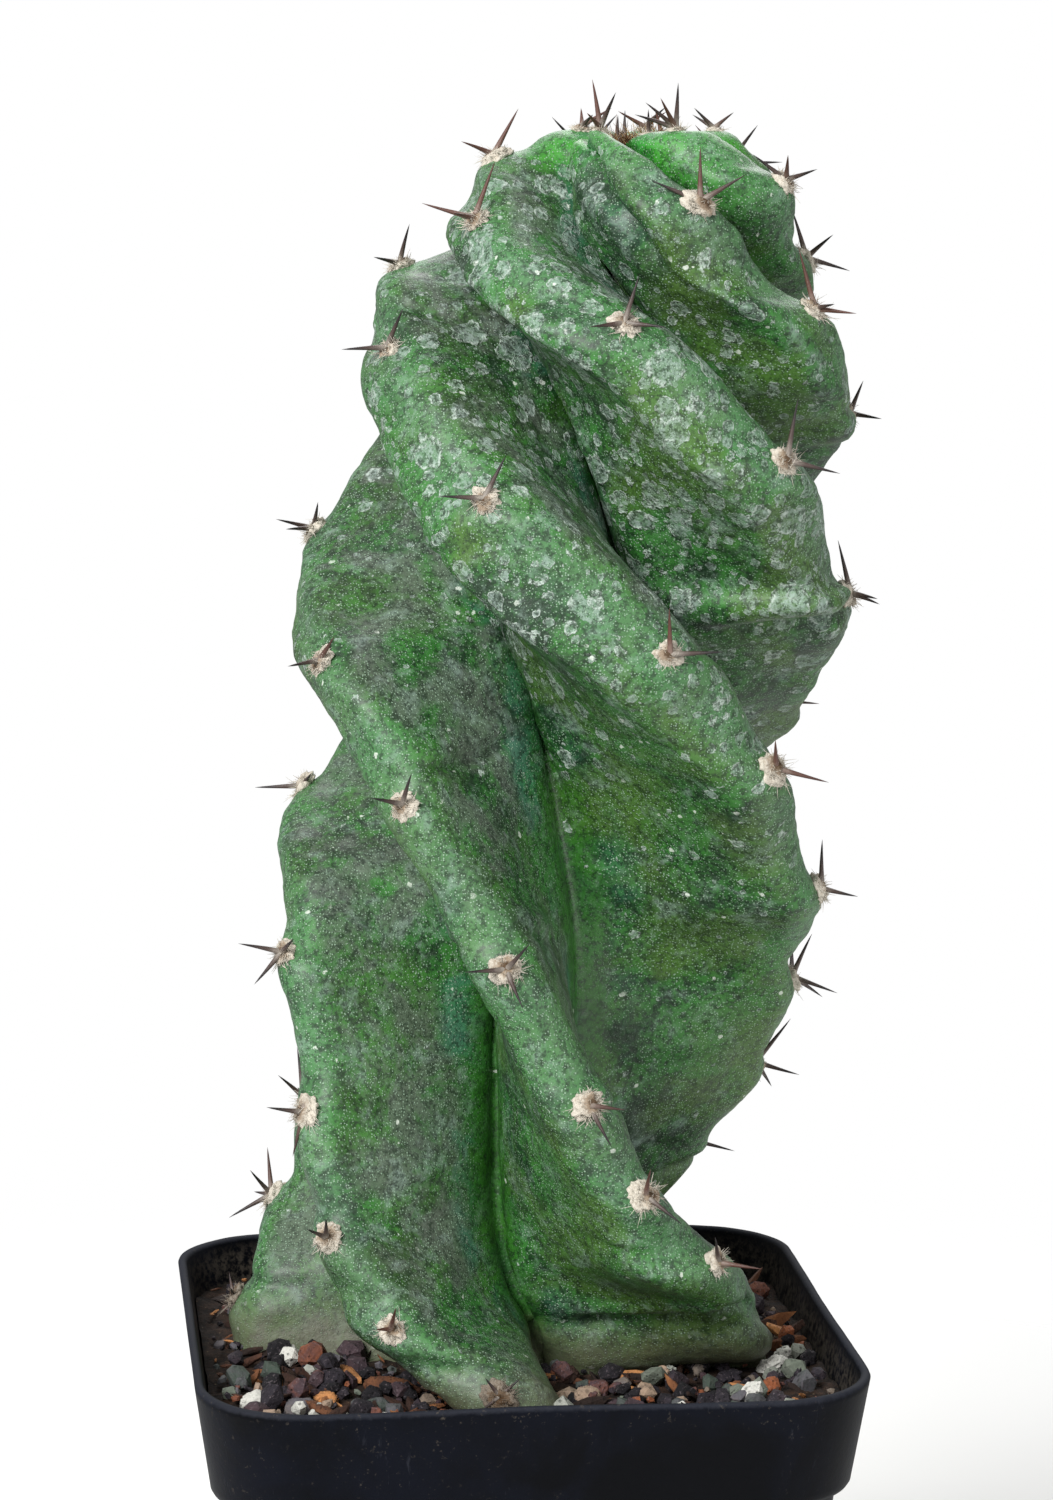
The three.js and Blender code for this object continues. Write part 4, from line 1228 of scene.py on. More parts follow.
@dataclass(frozen=True)
class GrowthFold:
    """A crease that runs from a crest across one flank.

    Reach is where it leaves the crest, drift how far it goes down the rib for each millimetre
    across, and span where it fades in and out. The lip is how much the skin above it bulges, and
    a fold of the crown lies between the young lobes at the growing tip.
    """

    rib: int
    lower: bool
    reach: float
    drift: float
    depth: float
    span: Pair
    width: float = 0.9
    lip: float = 0.5
    crown: bool = False
    extent: float = 6
    fade: Row = (0.4, 1, 0.7)
    lip_place: float = 2.4
    lip_width: float = 1.7

    def carve(self, held: Held, wander: np.ndarray, strength: np.ndarray
              ) -> tuple[np.ndarray, np.ndarray]:
        """The fold's relief on the skin.

        Args:
            held: What each point holds.
            wander: How far the crease strays from its line.
            strength: How clear folds are at each point, from 0 to 1.

        Returns:
            The height, and how near the bottom of the crease each point lies, from 0 to 1.
        """
        away, (start, end) = held["away"], self.span
        line = held["reach"] - self.reach - self.drift * away + wander
        near = (held["rib"] == self.rib) & ((held["lower"] > 0.5) == self.lower)
        near = near & (np.abs(line) < self.extent * self.width)
        before, over, after = self.fade
        band = ease(start * before, start + over, away) * strength
        band = band * (1 - ease(end * after, end, away))
        dip = np.exp(-(line / self.width) ** 2)
        lip = np.exp(-((line + self.lip_place * self.width) / (self.lip_width * self.width)) ** 2)
        height = self.depth * band * (self.lip * lip - dip)
        return np.where(near, height, 0), np.where(near, band * dip, 0)


# The folds that show in front, most of them under an areole
SHOWN_FOLDS = (
    GrowthFold(4, True, 91.5, 0.10, 1.5, (1, 34), 1.0, 1.0),
    GrowthFold(4, True, 72.5, 0.50, 0.9, (2, 13), 0.7, 0.7),
    GrowthFold(4, True, 84, -0.9, 0.5, (6, 18), 0.7, 0.4),
    GrowthFold(3, True, 56, 1.6, 0.9, (1, 10), 0.8, 0.7),
    GrowthFold(3, True, 78, 0.25, 0.6, (3, 22), 0.9, 0.9),
    GrowthFold(3, False, 45, 0.2, 0.7, (8, 26), 1.1, 0.6),
    GrowthFold(2, False, 101, -0.1, 0.7, (10, 30), 0.8, 0.6),
    GrowthFold(2, False, 114, -0.1, 0.9, (9, 30), 0.9, 0.8),
    GrowthFold(2, False, 134, 0.25, 0.8, (12, 28), 1.0, 0.9),
    GrowthFold(2, True, 195.5, 0.15, 1.5, (1, 40), 0.8, 0.7),
    GrowthFold(1, False, 178, 0.0, 0.5, (10, 26), 0.7, 0.5),
    GrowthFold(1, False, 128, 0.3, 0.6, (8, 26), 1.1, 0.5),
    GrowthFold(0, True, 49, 0.4, 0.9, (2, 9), 0.8, 0.6),
    GrowthFold(0, True, 66, 0.2, 0.6, (3, 20), 0.9, 0.7),
    GrowthFold(0, True, 4.6, 2.0, 5.5, (2.5, 18), 5.0, 0.15, True),
    GrowthFold(0, False, -20.5, 9.3, 3.2, (2, 8), 11.0, 0.1, True),
)


@dataclass
class CactusSkin:
    """The skin of the stem: the ribs with their folds, dents and small lumps.

    Dents, pores and the wander of the folds hold a height, a spacing and a seed. The faint folds'
    ranges hold the least value and how much a draw adds to it. The hollow above an areole and the
    swelling under it hold a distance along the rib, a spread along it and a spread across it.
    """

    form: StemForm
    finish: SkinFinish = field(default_factory=SkinFinish)
    dents: tuple[Row, ...] = ((0.75, 13, 1), (0.3, 6.5, 2), (0.22, 2.6, 3))
    pores: Row = (0.07, 1.1, 4)
    crease_dents: float = 0.25
    flank_rise: Pair = (0.5, 9)
    grown_reach: Pair = (6, 30)
    young_reach: Pair = (0.5, 9)
    crease_depth: float = 1.0
    crease_width: float = 1.4
    roll_rib: int = 2
    roll_reach: float = 203.0
    roll_drift: float = 0.1
    roll_width: float = 4.5
    roll_height: float = 3.0
    roll_fade: Pair = (1, 8)
    wander: Row = (0.9, 5, 6)
    faint_depth: Pair = (0.12, 0.5)
    faint_drift: Pair = (-0.25, 0.5)
    faint_start: Pair = (2, 3)
    faint_end: Pair = (12, 14)
    faint_lift: float = 2
    areole_dip: float = 0.8
    dip_extent: float = 9
    hollow_above: Row = (3.6, 1.8, 4.5)
    swelling_below: Row = (2.6, 2.6, 4)
    swelling_share: float = 0.55
    side_fade: float = 4
    crest_band: Pair = (1.5, 11)
    hollow_band: Pair = (0.5, 13)
    youth: Pair = (4, 42)
    least_marked: float = 0.4
    marks_fade: Pair = (150, 75)
    marks_start: Pair = (8, 24)
    stain_heights: Pair = (84, 108)
    frame_levels: int = 3
    seed: int = 5
    greened: np.ndarray = field(init=False)
    grid: np.ndarray = field(init=False)
    normals: np.ndarray = field(init=False)
    reaches: np.ndarray = field(init=False)

    def folds(self) -> list[GrowthFold]:
        """The folds that show, and faint ones under every areole by a seeded rule.

        Returns:
            The folds.
        """
        random = np.random.default_rng(self.seed)
        found = list(SHOWN_FOLDS)
        for rib, row in enumerate(RIBS):
            for reach in row.areoles:
                for lower in (False, True):
                    draw = random.random(4)
                    depth = self.faint_depth[0] + self.faint_depth[1] * draw[0] ** 3
                    drift = self.faint_drift[0] + self.faint_drift[1] * draw[1]
                    start = self.faint_start[0] + self.faint_start[1] * draw[2]
                    end = self.faint_end[0] + self.faint_end[1] * draw[3]
                    place = reach + self.faint_lift * draw[1] - self.faint_lift
                    found.append(GrowthFold(rib, lower, place, drift, depth, (start, end)))
        return found

    def relief(self, points: np.ndarray, held: Held) -> np.ndarray:
        """How far each point stands out from the plain form.

        Args:
            points: The points of the plain form.
            held: What each point holds.

        Returns:
            The height, in millimetres.
        """
        flank = ease(*self.flank_rise, held["left"])
        grown = ease(*self.grown_reach, held["reach"])
        young = ease(*self.young_reach, held["reach"])
        height = sum(size * lumps(points, spacing, seed) for size, spacing, seed in self.dents)
        height = height * (self.crease_dents + (1 - self.crease_dents) * flank) * grown
        pore, pore_spacing, pore_seed = self.pores
        height += pore * lumps(points, pore_spacing, pore_seed)
        height -= self.crease_depth * young * np.exp(-(held["left"] / self.crease_width) ** 2)
        height += self.foot_roll(held) * flank
        self.greened = np.zeros(points.shape[:-1])
        stray, stray_spacing, stray_seed = self.wander
        wander = stray * lumps(points, stray_spacing, stray_seed)
        for fold in self.folds():
            carved, depth = fold.carve(held, wander, flank * (young if fold.crown else grown))
            height += carved
            if fold.crown:
                self.greened = np.maximum(self.greened, depth)
        return height + self.areole_dips(held)

    def foot_roll(self, held: Held) -> np.ndarray:
        """The smooth roll at the foot, under the last fold of the third rib.

        Args:
            held: What each point holds.

        Returns:
            The height, in millimetres.
        """
        line = held["reach"] - self.roll_reach - self.roll_drift * held["away"]
        roll = np.exp(-(line / self.roll_width) ** 2) * ease(*self.roll_fade, held["away"])
        on = (held["rib"] == self.roll_rib) & (held["lower"] > 0.5)
        return np.where(on, self.roll_height * roll, 0)

    def areole_dips(self, held: Held) -> np.ndarray:
        """The hollow above each areole and the swelling under it.

        Args:
            held: What each point holds.

        Returns:
            The height, in millimetres.
        """
        height = np.zeros(held["reach"].shape)
        (up, tall, wide), (down, low_tall, low_wide) = self.hollow_above, self.swelling_below
        for rib, row in enumerate(RIBS):
            for mark in row.areoles[2:]:
                line = held["reach"] - mark
                on = (held["rib"] == rib) & (np.abs(line) < self.dip_extent)
                above = np.exp(-((line + up) / tall) ** 2 - (held["away"] / wide) ** 2)
                below = np.exp(-((line - down) / low_tall) ** 2 - (held["away"] / low_wide) ** 2)
                dip = self.areole_dip * (self.swelling_share * below - above)
                height += np.where(on, dip, 0)
        return height

    def build(self) -> None:
        """Makes the skin, which stands for the whole stem, and keeps its crests."""
        form = self.form
        reaches = form.top + (form.full - form.top) * np.linspace(0, 1, form.levels)
        rings, held = [], {key: [] for key in ("away", "left", "lower", "rib", "reach")}
        for reach in reaches:
            points, row = form.ring(float(reach))
            row["reach"] = np.full(len(points), reach)
            rings.append(points)
            for key in held:
                held[key].append(row[key])
        grid = np.array(rings)
        held = {key: np.array(rows) for key, rows in held.items()}
        across = np.roll(grid, -1, axis=1) - np.roll(grid, 1, axis=1)
        normals = unit(np.cross(np.gradient(grid, axis=0), across))
        grid = grid + normals * self.relief(grid, held)[..., None]
        self.grid, self.normals, self.reaches = grid, normals, reaches

        root = grid[-1].copy()
        root[:, 2] = form.root_bottom
        tip = np.ravel(form.place(np.array(0.0), 0.0, form.crest[0][1]))
        points, faces = capped(np.concatenate([grid, [root]]), [tip, root.mean(axis=0)])
        faces = [face[::-1] for face in faces]
        count = grid.shape[1]
        shape = Shape(points, faces, self.looks(held, count, points))
        piece = shape.piece("cactus_skin", self.finish.build(), "cactus_skin")
        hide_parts("cactus_stem")

    def looks(self, held: Held, count: int, points: np.ndarray
              ) -> Held:
        """What the material reads at each point.

        Args:
            held: What each point of the grid holds.
            count: Points in a ring.
            points: All points of the mesh.

        Returns:
            The named values, from 0 to 1.
        """
        away, left = held["away"], held["left"]
        inner = np.clip(np.minimum(away, left) / self.side_fade, 0, 1)
        side = np.where(held["lower"] > 0.5, 1, -1) * inner
        marked = np.array([rib.marked for rib in RIBS])[held["rib"].astype(int)]
        upper = ease(*self.marks_fade, held["reach"])
        marked = marked * (self.least_marked + (1 - self.least_marked) * upper)
        marked = marked * ease(*self.marks_start, held["reach"])
        values = {
            "crest": 1 - ease(*self.crest_band, away),
            "hollow": np.maximum(1 - ease(*self.hollow_band, left), self.greened),
            "lower": 0.5 + 0.5 * side,
            "youth": 1 - ease(*self.youth, held["reach"]),
            "marked": marked,
        }
        padded = {}
        for key, rows in values.items():
            flat = rows.reshape(-1)
            extra = np.concatenate([flat[-count:], [flat[0], flat[-1]]])
            padded[key] = np.concatenate([flat, extra])
        padded["stained"] = 1 - ease(*self.stain_heights, points[:, 2])
        return padded

    def crest_frame(self, rib: int, reach: float) -> Held:
        """The point and the directions out, down and across at a rib's crest.

        Args:
            rib: The rib's number.
            reach: Distance down the crest.

        Returns:
            The vectors by name.
        """
        level = int(np.argmin(np.abs(self.reaches - reach)))
        column = self.form.column(rib) + 1
        above = max(level - self.frame_levels, 0)
        below = min(level + self.frame_levels, len(self.reaches) - 1)
        out = unit(self.normals[above:below + 1, column].mean(axis=0))
        down = unit(self.grid[below, column] - self.grid[above, column])
        down = unit(down - out * (down @ out))
        return {"point": self.grid[level, column], "out": out, "down": down,
                "across": np.cross(out, down)}


@dataclass
class Areoles:
    """The woolly pads along the crests, their frayed hairs and the spines that grow from them.

    A pad's lumps hold a height, a spacing and a seed. A hair's stance holds how far it stands up
    in the middle of a pad, how much less at its edge, and how far it hangs down. The rule for the
    spines that the photo doesn't show holds how far each points out and down or across, and the
    taper holds places along a spine and its share of the radius there.
    """

    skin: CactusSkin
    wool: WoolFinish = field(default_factory=WoolFinish)
    wood: SpineFinish = field(default_factory=SpineFinish)
    pad_radius: float = 2.15
    pad_height: float = 1.25
    pad_lift: float = -0.2
    pad_divisions: int = 4
    young_size: float = 0.62
    grown_sizes: Pair = (0.85, 1.12)
    pad_widths: Pair = (0.85, 1.05)
    pad_lengths: Pair = (0.95, 1.2)
    pad_lumps: tuple[Row, ...] = ((0.3, 0.5, 11), (0.22, 0.22, 12))
    pad_shift: float = 7
    core_offset: float = 0.25
    core_spread: float = 0.22
    least_core: float = 0.1
    aged_heights: Pair = (88, 104)
    hairs: int = 190
    hair_length: Pair = (0.5, 1.5)
    hair_radius: float = 0.055
    hair_thickness: Pair = (0.8, 1.5)
    hair_taper: Row = (1.0, 0.85, 0.25)
    hair_places: Pair = (0.05, 1.1)
    hair_share: float = 0.82
    hair_dome: Row = (0.8, 0.1, 0.7)
    hair_stance: Row = (1.15, 0.95, 0.25)
    hair_tangle: float = 0.7
    hair_growth: Pair = (0.7, 0.35)
    hair_curl: float = 0.35
    hair_core: Pair = (0.9, 4)
    newest_reach: float = 9
    newest_spine: float = 3.8
    newest_slant: Pair = (-0.3, 0.3)
    crown_reach: float = 12
    crown_share: float = 0.62
    spine_radius: float = 0.47
    spine_length: Pair = (6.5, 9)
    spine_foot: float = 0.5
    spine_bend: float = 0.035
    spine_rings: int = 9
    spine_sides: int = 8
    spine_taper: tuple[Row, Row] = ((-1, 0, 0.12, 0.5, 0.85, 1), (1.1, 1.1, 0.95, 0.62, 0.28, 0.03))
    slimness: Pair = (0.55, 16)
    seen_length: float = 6.8
    foreshortening: float = 1.9
    spine_root: float = 1.2
    rule_play: Pair = (-0.3, 0.2)
    rule_up: Pair = (0.55, -0.85)
    rule_side: Pair = (0.5, 0.85)
    rule_down: Pair = (0.6, 0.8)
    down_chance: float = 0.3
    low_height: float = 98
    low_length: float = 4
    low_out: float = 0.2
    seed: int = 7

    def build(self) -> None:
        """Makes the wool and the spines of every areole."""
        random = np.random.default_rng(self.seed)
        pads, hairs, spines = [], [], []
        for rib, row in enumerate(RIBS):
            for number, reach in enumerate(row.areoles):
                at = self.skin.crest_frame(rib, reach)
                young = reach < self.crown_reach
                size = self.young_size if young else random.uniform(*self.grown_sizes)
                aged = float(1 - ease(*self.aged_heights, at["point"][2]))
                pads.append(self.pad(at, size, aged, random))
                hairs.append(self.fringe(at, size, aged, random))
                spines += self.spines(at, (rib, number), random)
        wool = self.wool.build()
        joined(pads).piece("areole_pads", wool, "cactus_skin")
        joined(hairs).piece("areole_hairs", wool, "cactus_skin")
        joined(spines).piece("spines", self.wood.build(), "cactus_skin")

    def pad(self, at: Held, size: float, aged: float,
            random: Draws) -> Shape:
        """One lumpy pad of matted wool.

        Args:
            at: The areole's frame.
            size: Its share of the full size.
            aged: How browned it is, from 0 to 1.
            random: The draws.

        Returns:
            The pad.
        """
        points, faces = ball(self.pad_divisions)
        turn = random.uniform(0, 2 * math.pi)
        rough = 1.0
        for height, spacing, seed in self.pad_lumps:
            shift = self.pad_shift * random.random(3)
            rough = rough + height * lumps(points + shift, spacing, seed)
        flat = points * rough[:, None]
        oval = np.array([random.uniform(*self.pad_widths), 1.0, random.uniform(*self.pad_lengths)])
        flat = flat * oval * size * np.array([self.pad_radius, self.pad_height, self.pad_radius])
        from_core = (points[:, 0] - self.core_offset * math.cos(turn)) ** 2
        from_core = from_core + (points[:, 2] - self.core_offset * math.sin(turn)) ** 2
        middle = np.exp(-from_core / self.core_spread)
        core = self.least_core + (1 - self.least_core) * middle
        return Shape(self.placed(at, flat), faces, {"core": core, **even(points, aged=aged)})

    def placed(self, at: Held, local: np.ndarray) -> np.ndarray:
        """Moves points from across, out and down at an areole into the frame."""
        axes = np.array([at["across"], at["out"], at["down"]])
        return at["point"] + self.pad_lift * at["out"] + local @ axes

    def fringe(self, at: Held, size: float, aged: float,
               random: Draws) -> Shape:
        """Short frayed hairs round a pad, longest at its lower edge.

        Args:
            at: The areole's frame.
            size: Its share of the full size.
            aged: How browned it is, from 0 to 1.
            random: The draws.

        Returns:
            The hairs.
        """
        shapes = []
        (fall, least, rise), (up, less, down) = self.hair_dome, self.hair_stance
        for _ in range(self.hairs):
            turn = random.uniform(0, 2 * math.pi)
            spread = math.sqrt(random.uniform(*self.hair_places))
            ground = np.array([math.cos(turn), 0, math.sin(turn)])
            start = ground * spread * self.hair_share * size * self.pad_radius
            dome = math.sqrt(max(1 - min(spread, 1) ** 2 * fall, least))
            start[1] = self.pad_height * size * dome * rise
            outward = ground * spread + np.array([0, up - less * spread, down])
            direction = unit(outward + self.hair_tangle * random.normal(size=3))
            growth = self.hair_growth[0] + self.hair_growth[1] * (1 + ground[2]) * spread
            length = random.uniform(*self.hair_length) * size * growth
            curl = self.hair_curl * length * random.normal(size=3)
            radius = self.hair_radius * random.uniform(*self.hair_thickness)
            points, faces = hair(start, direction * length, curl, radius * np.array(self.hair_taper))
            most, falloff = self.hair_core
            core = most * math.exp(-spread * spread * falloff) * random.random()
            held = even(points, core=core, aged=aged)
            shapes.append(Shape(self.placed(at, points), faces, held))
        return joined(shapes)

    def spines(self, at: Held, key: tuple[int, int],
               random: Draws) -> list[Shape]:
        """The spines of one areole: as seen from the front where it shows, or else by a rule.

        Args:
            at: The areole's frame.
            key: The number of the rib and of the areole on it.
            random: The draws.

        Returns:
            The spines.
        """
        reach = RIBS[key[0]].areoles[key[1]]
        if reach < self.newest_reach:
            upright = unit(np.array([*random.uniform(*self.newest_slant, 2), 1.0]))
            return [self.spine(at, upright, self.newest_spine, random)]
        draws = random.uniform(*self.rule_play, 4)
        ways = self.seen_ways(key) or self.ruled_ways(at, reach, draws, random)
        return [self.spine(at, way, length, random) for way, length in ways]

    def seen_ways(self, key: tuple[int, int]) -> list[tuple[np.ndarray, float]]:
        """The directions and lengths of the spines that the photo shows at an areole.

        Args:
            key: The number of the rib and of the areole on it.

        Returns:
            A direction and a length for each spine, none where the areole doesn't show.
        """
        turn = self.skin.form.front_turn
        right = np.array([math.cos(turn), math.sin(turn), 0])
        toward = np.array([math.sin(turn), -math.cos(turn), 0])
        ways = []
        for x, z in FRONT_SPINES.get(key, ()):
            seen = math.hypot(x, z)
            length = max(seen, min(self.seen_length, self.foreshortening * seen))
            depth = math.sqrt(max(length ** 2 - seen ** 2, 0))
            ways.append((unit(x * right + (0, 0, z) + depth * toward), length))
        return ways

    def ruled_ways(self, at: Held, reach: float, draws: np.ndarray,
                   random: Draws) -> list[tuple[np.ndarray, float]]:
        """The directions and lengths of the spines of an areole that the photo doesn't show.

        Args:
            at: The areole's frame.
            reach: Its distance down the crest.
            draws: The play of the four directions.
            random: The draws.

        Returns:
            A direction and a length for each spine.
        """
        low = at["point"][2] < self.low_height
        out, across = self.rule_side
        out = self.low_out if low else out
        rule = [(*self.rule_up, draws[0]), (out, draws[1], across), (out, draws[2], -across)]
        if random.random() < self.down_chance and not low:
            rule.append((*self.rule_down, draws[3]))
        share = self.crown_share if reach < self.crown_reach else 1
        ways = []
        for parts in rule:
            axes = np.array([at["out"], at["down"], at["across"]])
            length = self.low_length if low else random.uniform(*self.spine_length)
            ways.append((unit(np.array(parts) @ axes), length * share))
        return ways

    def spine(self, at: Held, way: np.ndarray, length: float,
              random: Draws) -> Shape:
        """One tapered, slightly bent spine.

        Args:
            at: The areole's frame.
            way: The spine's direction.
            length: Its length.
            random: The draws.

        Returns:
            The spine.
        """
        start = at["point"] + self.spine_foot * at["out"]
        steps = np.linspace(-self.spine_root / length, 1, self.spine_rings)
        shown = np.clip(steps, 0, 1)
        bend = self.spine_bend * length * unit(random.normal(size=3))
        line = start + way * length * steps[:, None] + bend * (shown ** 2)[:, None]
        least, full = self.slimness
        slim = min(1, least + length / full)
        radii = self.spine_radius * np.interp(steps, *self.spine_taper) * slim
        points, faces = tube(line, radii, self.spine_sides)
        along = np.repeat(shown, self.spine_sides)
        return Shape(points, faces, {"along": along, **even(points, tint=random.random())})


@dataclass
class GrowingTip:
    """The brown tuft of wool at the growing tip."""

    skin: CactusSkin
    wool: WoolFinish = field(default_factory=lambda: WoolFinish(
        "tip_wool", colour("b59a6c"), colour("7a5638"), colour("3b261b")))
    hairs: int = 900
    radius: float = 4.6
    lift: float = 0.3
    sunk: float = 0.4
    dish: float = 0.12
    tangle: float = 0.8
    curl: float = 0.5
    length: Pair = (1.2, 2.8)
    taper: Row = (0.09, 0.07, 0.02)
    aged: float = 0.2
    seed: int = 23

    def build(self) -> None:
        """Makes the tuft."""
        random = np.random.default_rng(self.seed)
        form = self.skin.form
        centre = np.ravel(form.place(np.array(0.0), 0.0, form.crest[0][1] + self.lift))
        shapes = []
        for _ in range(self.hairs):
            turn = random.uniform(0, 2 * math.pi)
            spread = self.radius * math.sqrt(random.random())
            start = centre + np.array([math.cos(turn) * spread, math.sin(turn) * spread,
                                       self.dish * spread - self.sunk])
            direction = unit(np.array([0, 0, 1.0]) + self.tangle * random.normal(size=3))
            length = random.uniform(*self.length)
            curl = self.curl * length * random.normal(size=3)
            points, faces = hair(start, direction * length, curl, np.array(self.taper))
            held = even(points, core=random.random(), aged=self.aged)
            shapes.append(Shape(points, faces, held))
        joined(shapes).piece("tip_tuft", self.wool.build(), "cactus_skin")


# The pot and what fills it


@dataclass
class Pot:
    """A square nursery pot with a deep band, round corners and four drain holes.

    The rows of its outline hold how far each lies inward or above a height, and those near an edge
    how worn they are, from 0 to 1. The waves hold a height or a share, a spacing and a seed.
    """

    finish: PotFinish = field(default_factory=PotFinish)
    height: float = 90
    rim_half: float = 50
    rim_corner: float = 16
    band: float = 16
    band_foot: float = 47.6
    body_top: float = 45.6
    body_foot: float = 37.5
    wall: float = 1.4
    floor: float = 1.8
    drain_radius: float = 4
    drain_offset: float = 20
    step: float = 2
    foot_ease: float = 0.2
    foot_rows: tuple[Row, ...] = ((9, 0.9), (8, 0.1), (1.2, 0), (0.4, 0.3), (0, 1.2))
    body_heights: Row = (8, 2.4, 9)
    under_band: float = 1.6
    lip_rows: tuple[Row, ...] = ((1.2, 1.1, 0), (0.35, 0.75, 0.35), (0, 0.1, 0.6))
    band_rows: tuple[Row, ...] = ((0.7, 0.35), (2.5, 0), (6, 0), (10, 0), (13, 0.05), (14.6, 0.35))
    band_top: float = 0.5
    rim_rows: tuple[Row, ...] = (
        (0.02, 0.55, 0.8), (0.18, 0.15, 1), (0.5, 0, 1), (0.9, 0.03, 1), (1.25, 0.25, 0.9),
        (1.4, 0.7, 0.6),
    )
    inner_depths: Row = (3, 8, 14, 18, 40, 65)
    sway: Row = (0.35, 26, 31)
    bulge: Row = (0.0028, 34, 32)
    nicks: Row = (0.06, 3.5, 33)
    nicked: float = 0.7
    corner_steps: int = 22
    edge_steps: int = 26

    def inside(self, z: float) -> float:
        """Half width of the cavity.

        Args:
            z: The height.

        Returns:
            The half width there.
        """
        foot = self.height - self.band
        heights = (self.floor, foot - self.step, foot + self.step, self.height)
        halves = (self.body_foot - self.wall + self.foot_ease, self.body_top - self.wall,
                  self.band_foot - self.wall, self.rim_half - self.wall)
        return float(np.interp(z, heights, halves))

    def outline(self, half: float, corner_steps: int, edge_steps: int) -> np.ndarray:
        """A square with round corners, anticlockwise seen from above.

        Args:
            half: Half its width.
            corner_steps: Steps round a corner.
            edge_steps: Steps along an edge.

        Returns:
            The points, across and deep.
        """
        corner = self.rim_corner * half / self.rim_half
        inner = half - corner
        points = []
        for side in range(4):
            c, s = math.cos(side * math.pi / 2), math.sin(side * math.pi / 2)
            spin = np.array([[c, s], [-s, c]])
            turns = np.pi / 2 * np.arange(corner_steps + 1) / corner_steps
            arc = np.stack([inner + corner * np.cos(turns), inner + corner * np.sin(turns)], axis=1)
            edge = np.stack([np.linspace(inner, -inner, edge_steps + 1)[1:-1],
                             np.full(edge_steps - 1, half)], axis=1)
            points.append(np.concatenate([arc, edge]) @ spin)
        return np.concatenate(points)

    def profile(self) -> list[Row]:
        """The outline of a cut, from under the foot over the rim to the floor.

        Returns:
            The half width, the height and how worn it is, for each ring.
        """
        foot, top, rim = self.height - self.band, self.height, self.rim_half
        rows = [(self.body_foot - inward, z, 0) for inward, z in self.foot_rows]
        low, below, count = self.body_heights
        ends = (self.foot_rows[-1][1], foot - self.under_band)
        rows += [(float(np.interp(z, ends, (self.body_foot, self.body_top))), z, 0)
                 for z in np.linspace(low, foot - below, count)]
        rows += [(self.body_top, foot - self.under_band, 0)]
        rows += [(self.band_foot - inward, foot - down, edge) for inward, down, edge in self.lip_rows]
        ends = (foot, top - self.band_top)
        rows += [(float(np.interp(foot + up, ends, (self.band_foot, rim))), foot + up, edge)
                 for up, edge in self.band_rows]
        rows += [(rim - inward, top - down, edge) for inward, down, edge in self.rim_rows]
        inner = (*(top - depth for depth in self.inner_depths), self.floor)
        return rows + [(self.inside(z), z, 0) for z in inner]

    def build(self) -> None:
        """Makes the pot and cuts its drain holes."""
        rows = self.profile()
        rings, edge, inner = [], [], []
        first_inner = len(rows) - len(self.inner_depths) - 1
        (sway, sway_gap, sway_seed), (bulge, bulge_gap, bulge_seed) = self.sway, self.bulge
        nick, nick_gap, nick_seed = self.nicks
        for number, (half, z, near) in enumerate(rows):
            flat = self.outline(half, self.corner_steps, self.edge_steps)
            spot = np.column_stack([flat, np.full(len(flat), z)])
            upper = ease(self.height - self.band, self.height, np.array(z))
            wave = sway * upper * lumps(spot * (1, 1, 0.3), sway_gap, sway_seed)
            worn = nick * lumps(spot, nick_gap, nick_seed) if near > self.nicked else 0
            spot[:, 2] += wave + worn
            wide = bulge * upper * lumps(spot * (1, 1, 0), bulge_gap, bulge_seed)
            spot[:, :2] *= 1 + wide[:, None]
            rings.append(spot)
            edge.append(np.full(len(flat), near))
            inner.append(np.full(len(flat), float(number >= first_inner)))
        ends = [(0, 0, self.foot_rows[0][1]), (0, 0, self.floor)]
        points, faces = capped(np.array(rings), ends)
        held = {"edge": np.concatenate([*edge, [0, 0]]), "inner": np.concatenate([*inner, [0, 1]])}
        piece = Shape(points, faces, held).piece("nursery_pot", self.finish.build(), "pot_plastic")
        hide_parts("pot")
        self.drill(piece)

    def drill(self, piece: bpy.types.Object) -> None:
        """Cuts the four drain holes through the floor.

        Args:
            piece: The pot.
        """
        mesh = bmesh.new()
        for x in (-1, 1):
            for y in (-1, 1):
                at = Matrix.Translation((x * self.drain_offset * MM, y * self.drain_offset * MM, 0))
                bmesh.ops.create_cone(
                    mesh, cap_ends=True, segments=32, radius1=self.drain_radius * MM,
                    radius2=self.drain_radius * MM, depth=3 * self.floor * MM, matrix=at)
        drill = bpy.data.meshes.new("drill")
        mesh.to_mesh(drill)
        mesh.free()
        cutter = bpy.data.objects.new("drill", drill)
        bpy.context.scene.collection.objects.link(cutter)
        cut = piece.modifiers.new("drains", "BOOLEAN")
        cut.operation, cut.solver, cut.object = "DIFFERENCE", "EXACT", cutter
        whole = bpy.data.meshes.new_from_object(
            piece.evaluated_get(bpy.context.evaluated_depsgraph_get()))
        piece.modifiers.clear()
        piece.data = whole
        bpy.data.objects.remove(cutter)


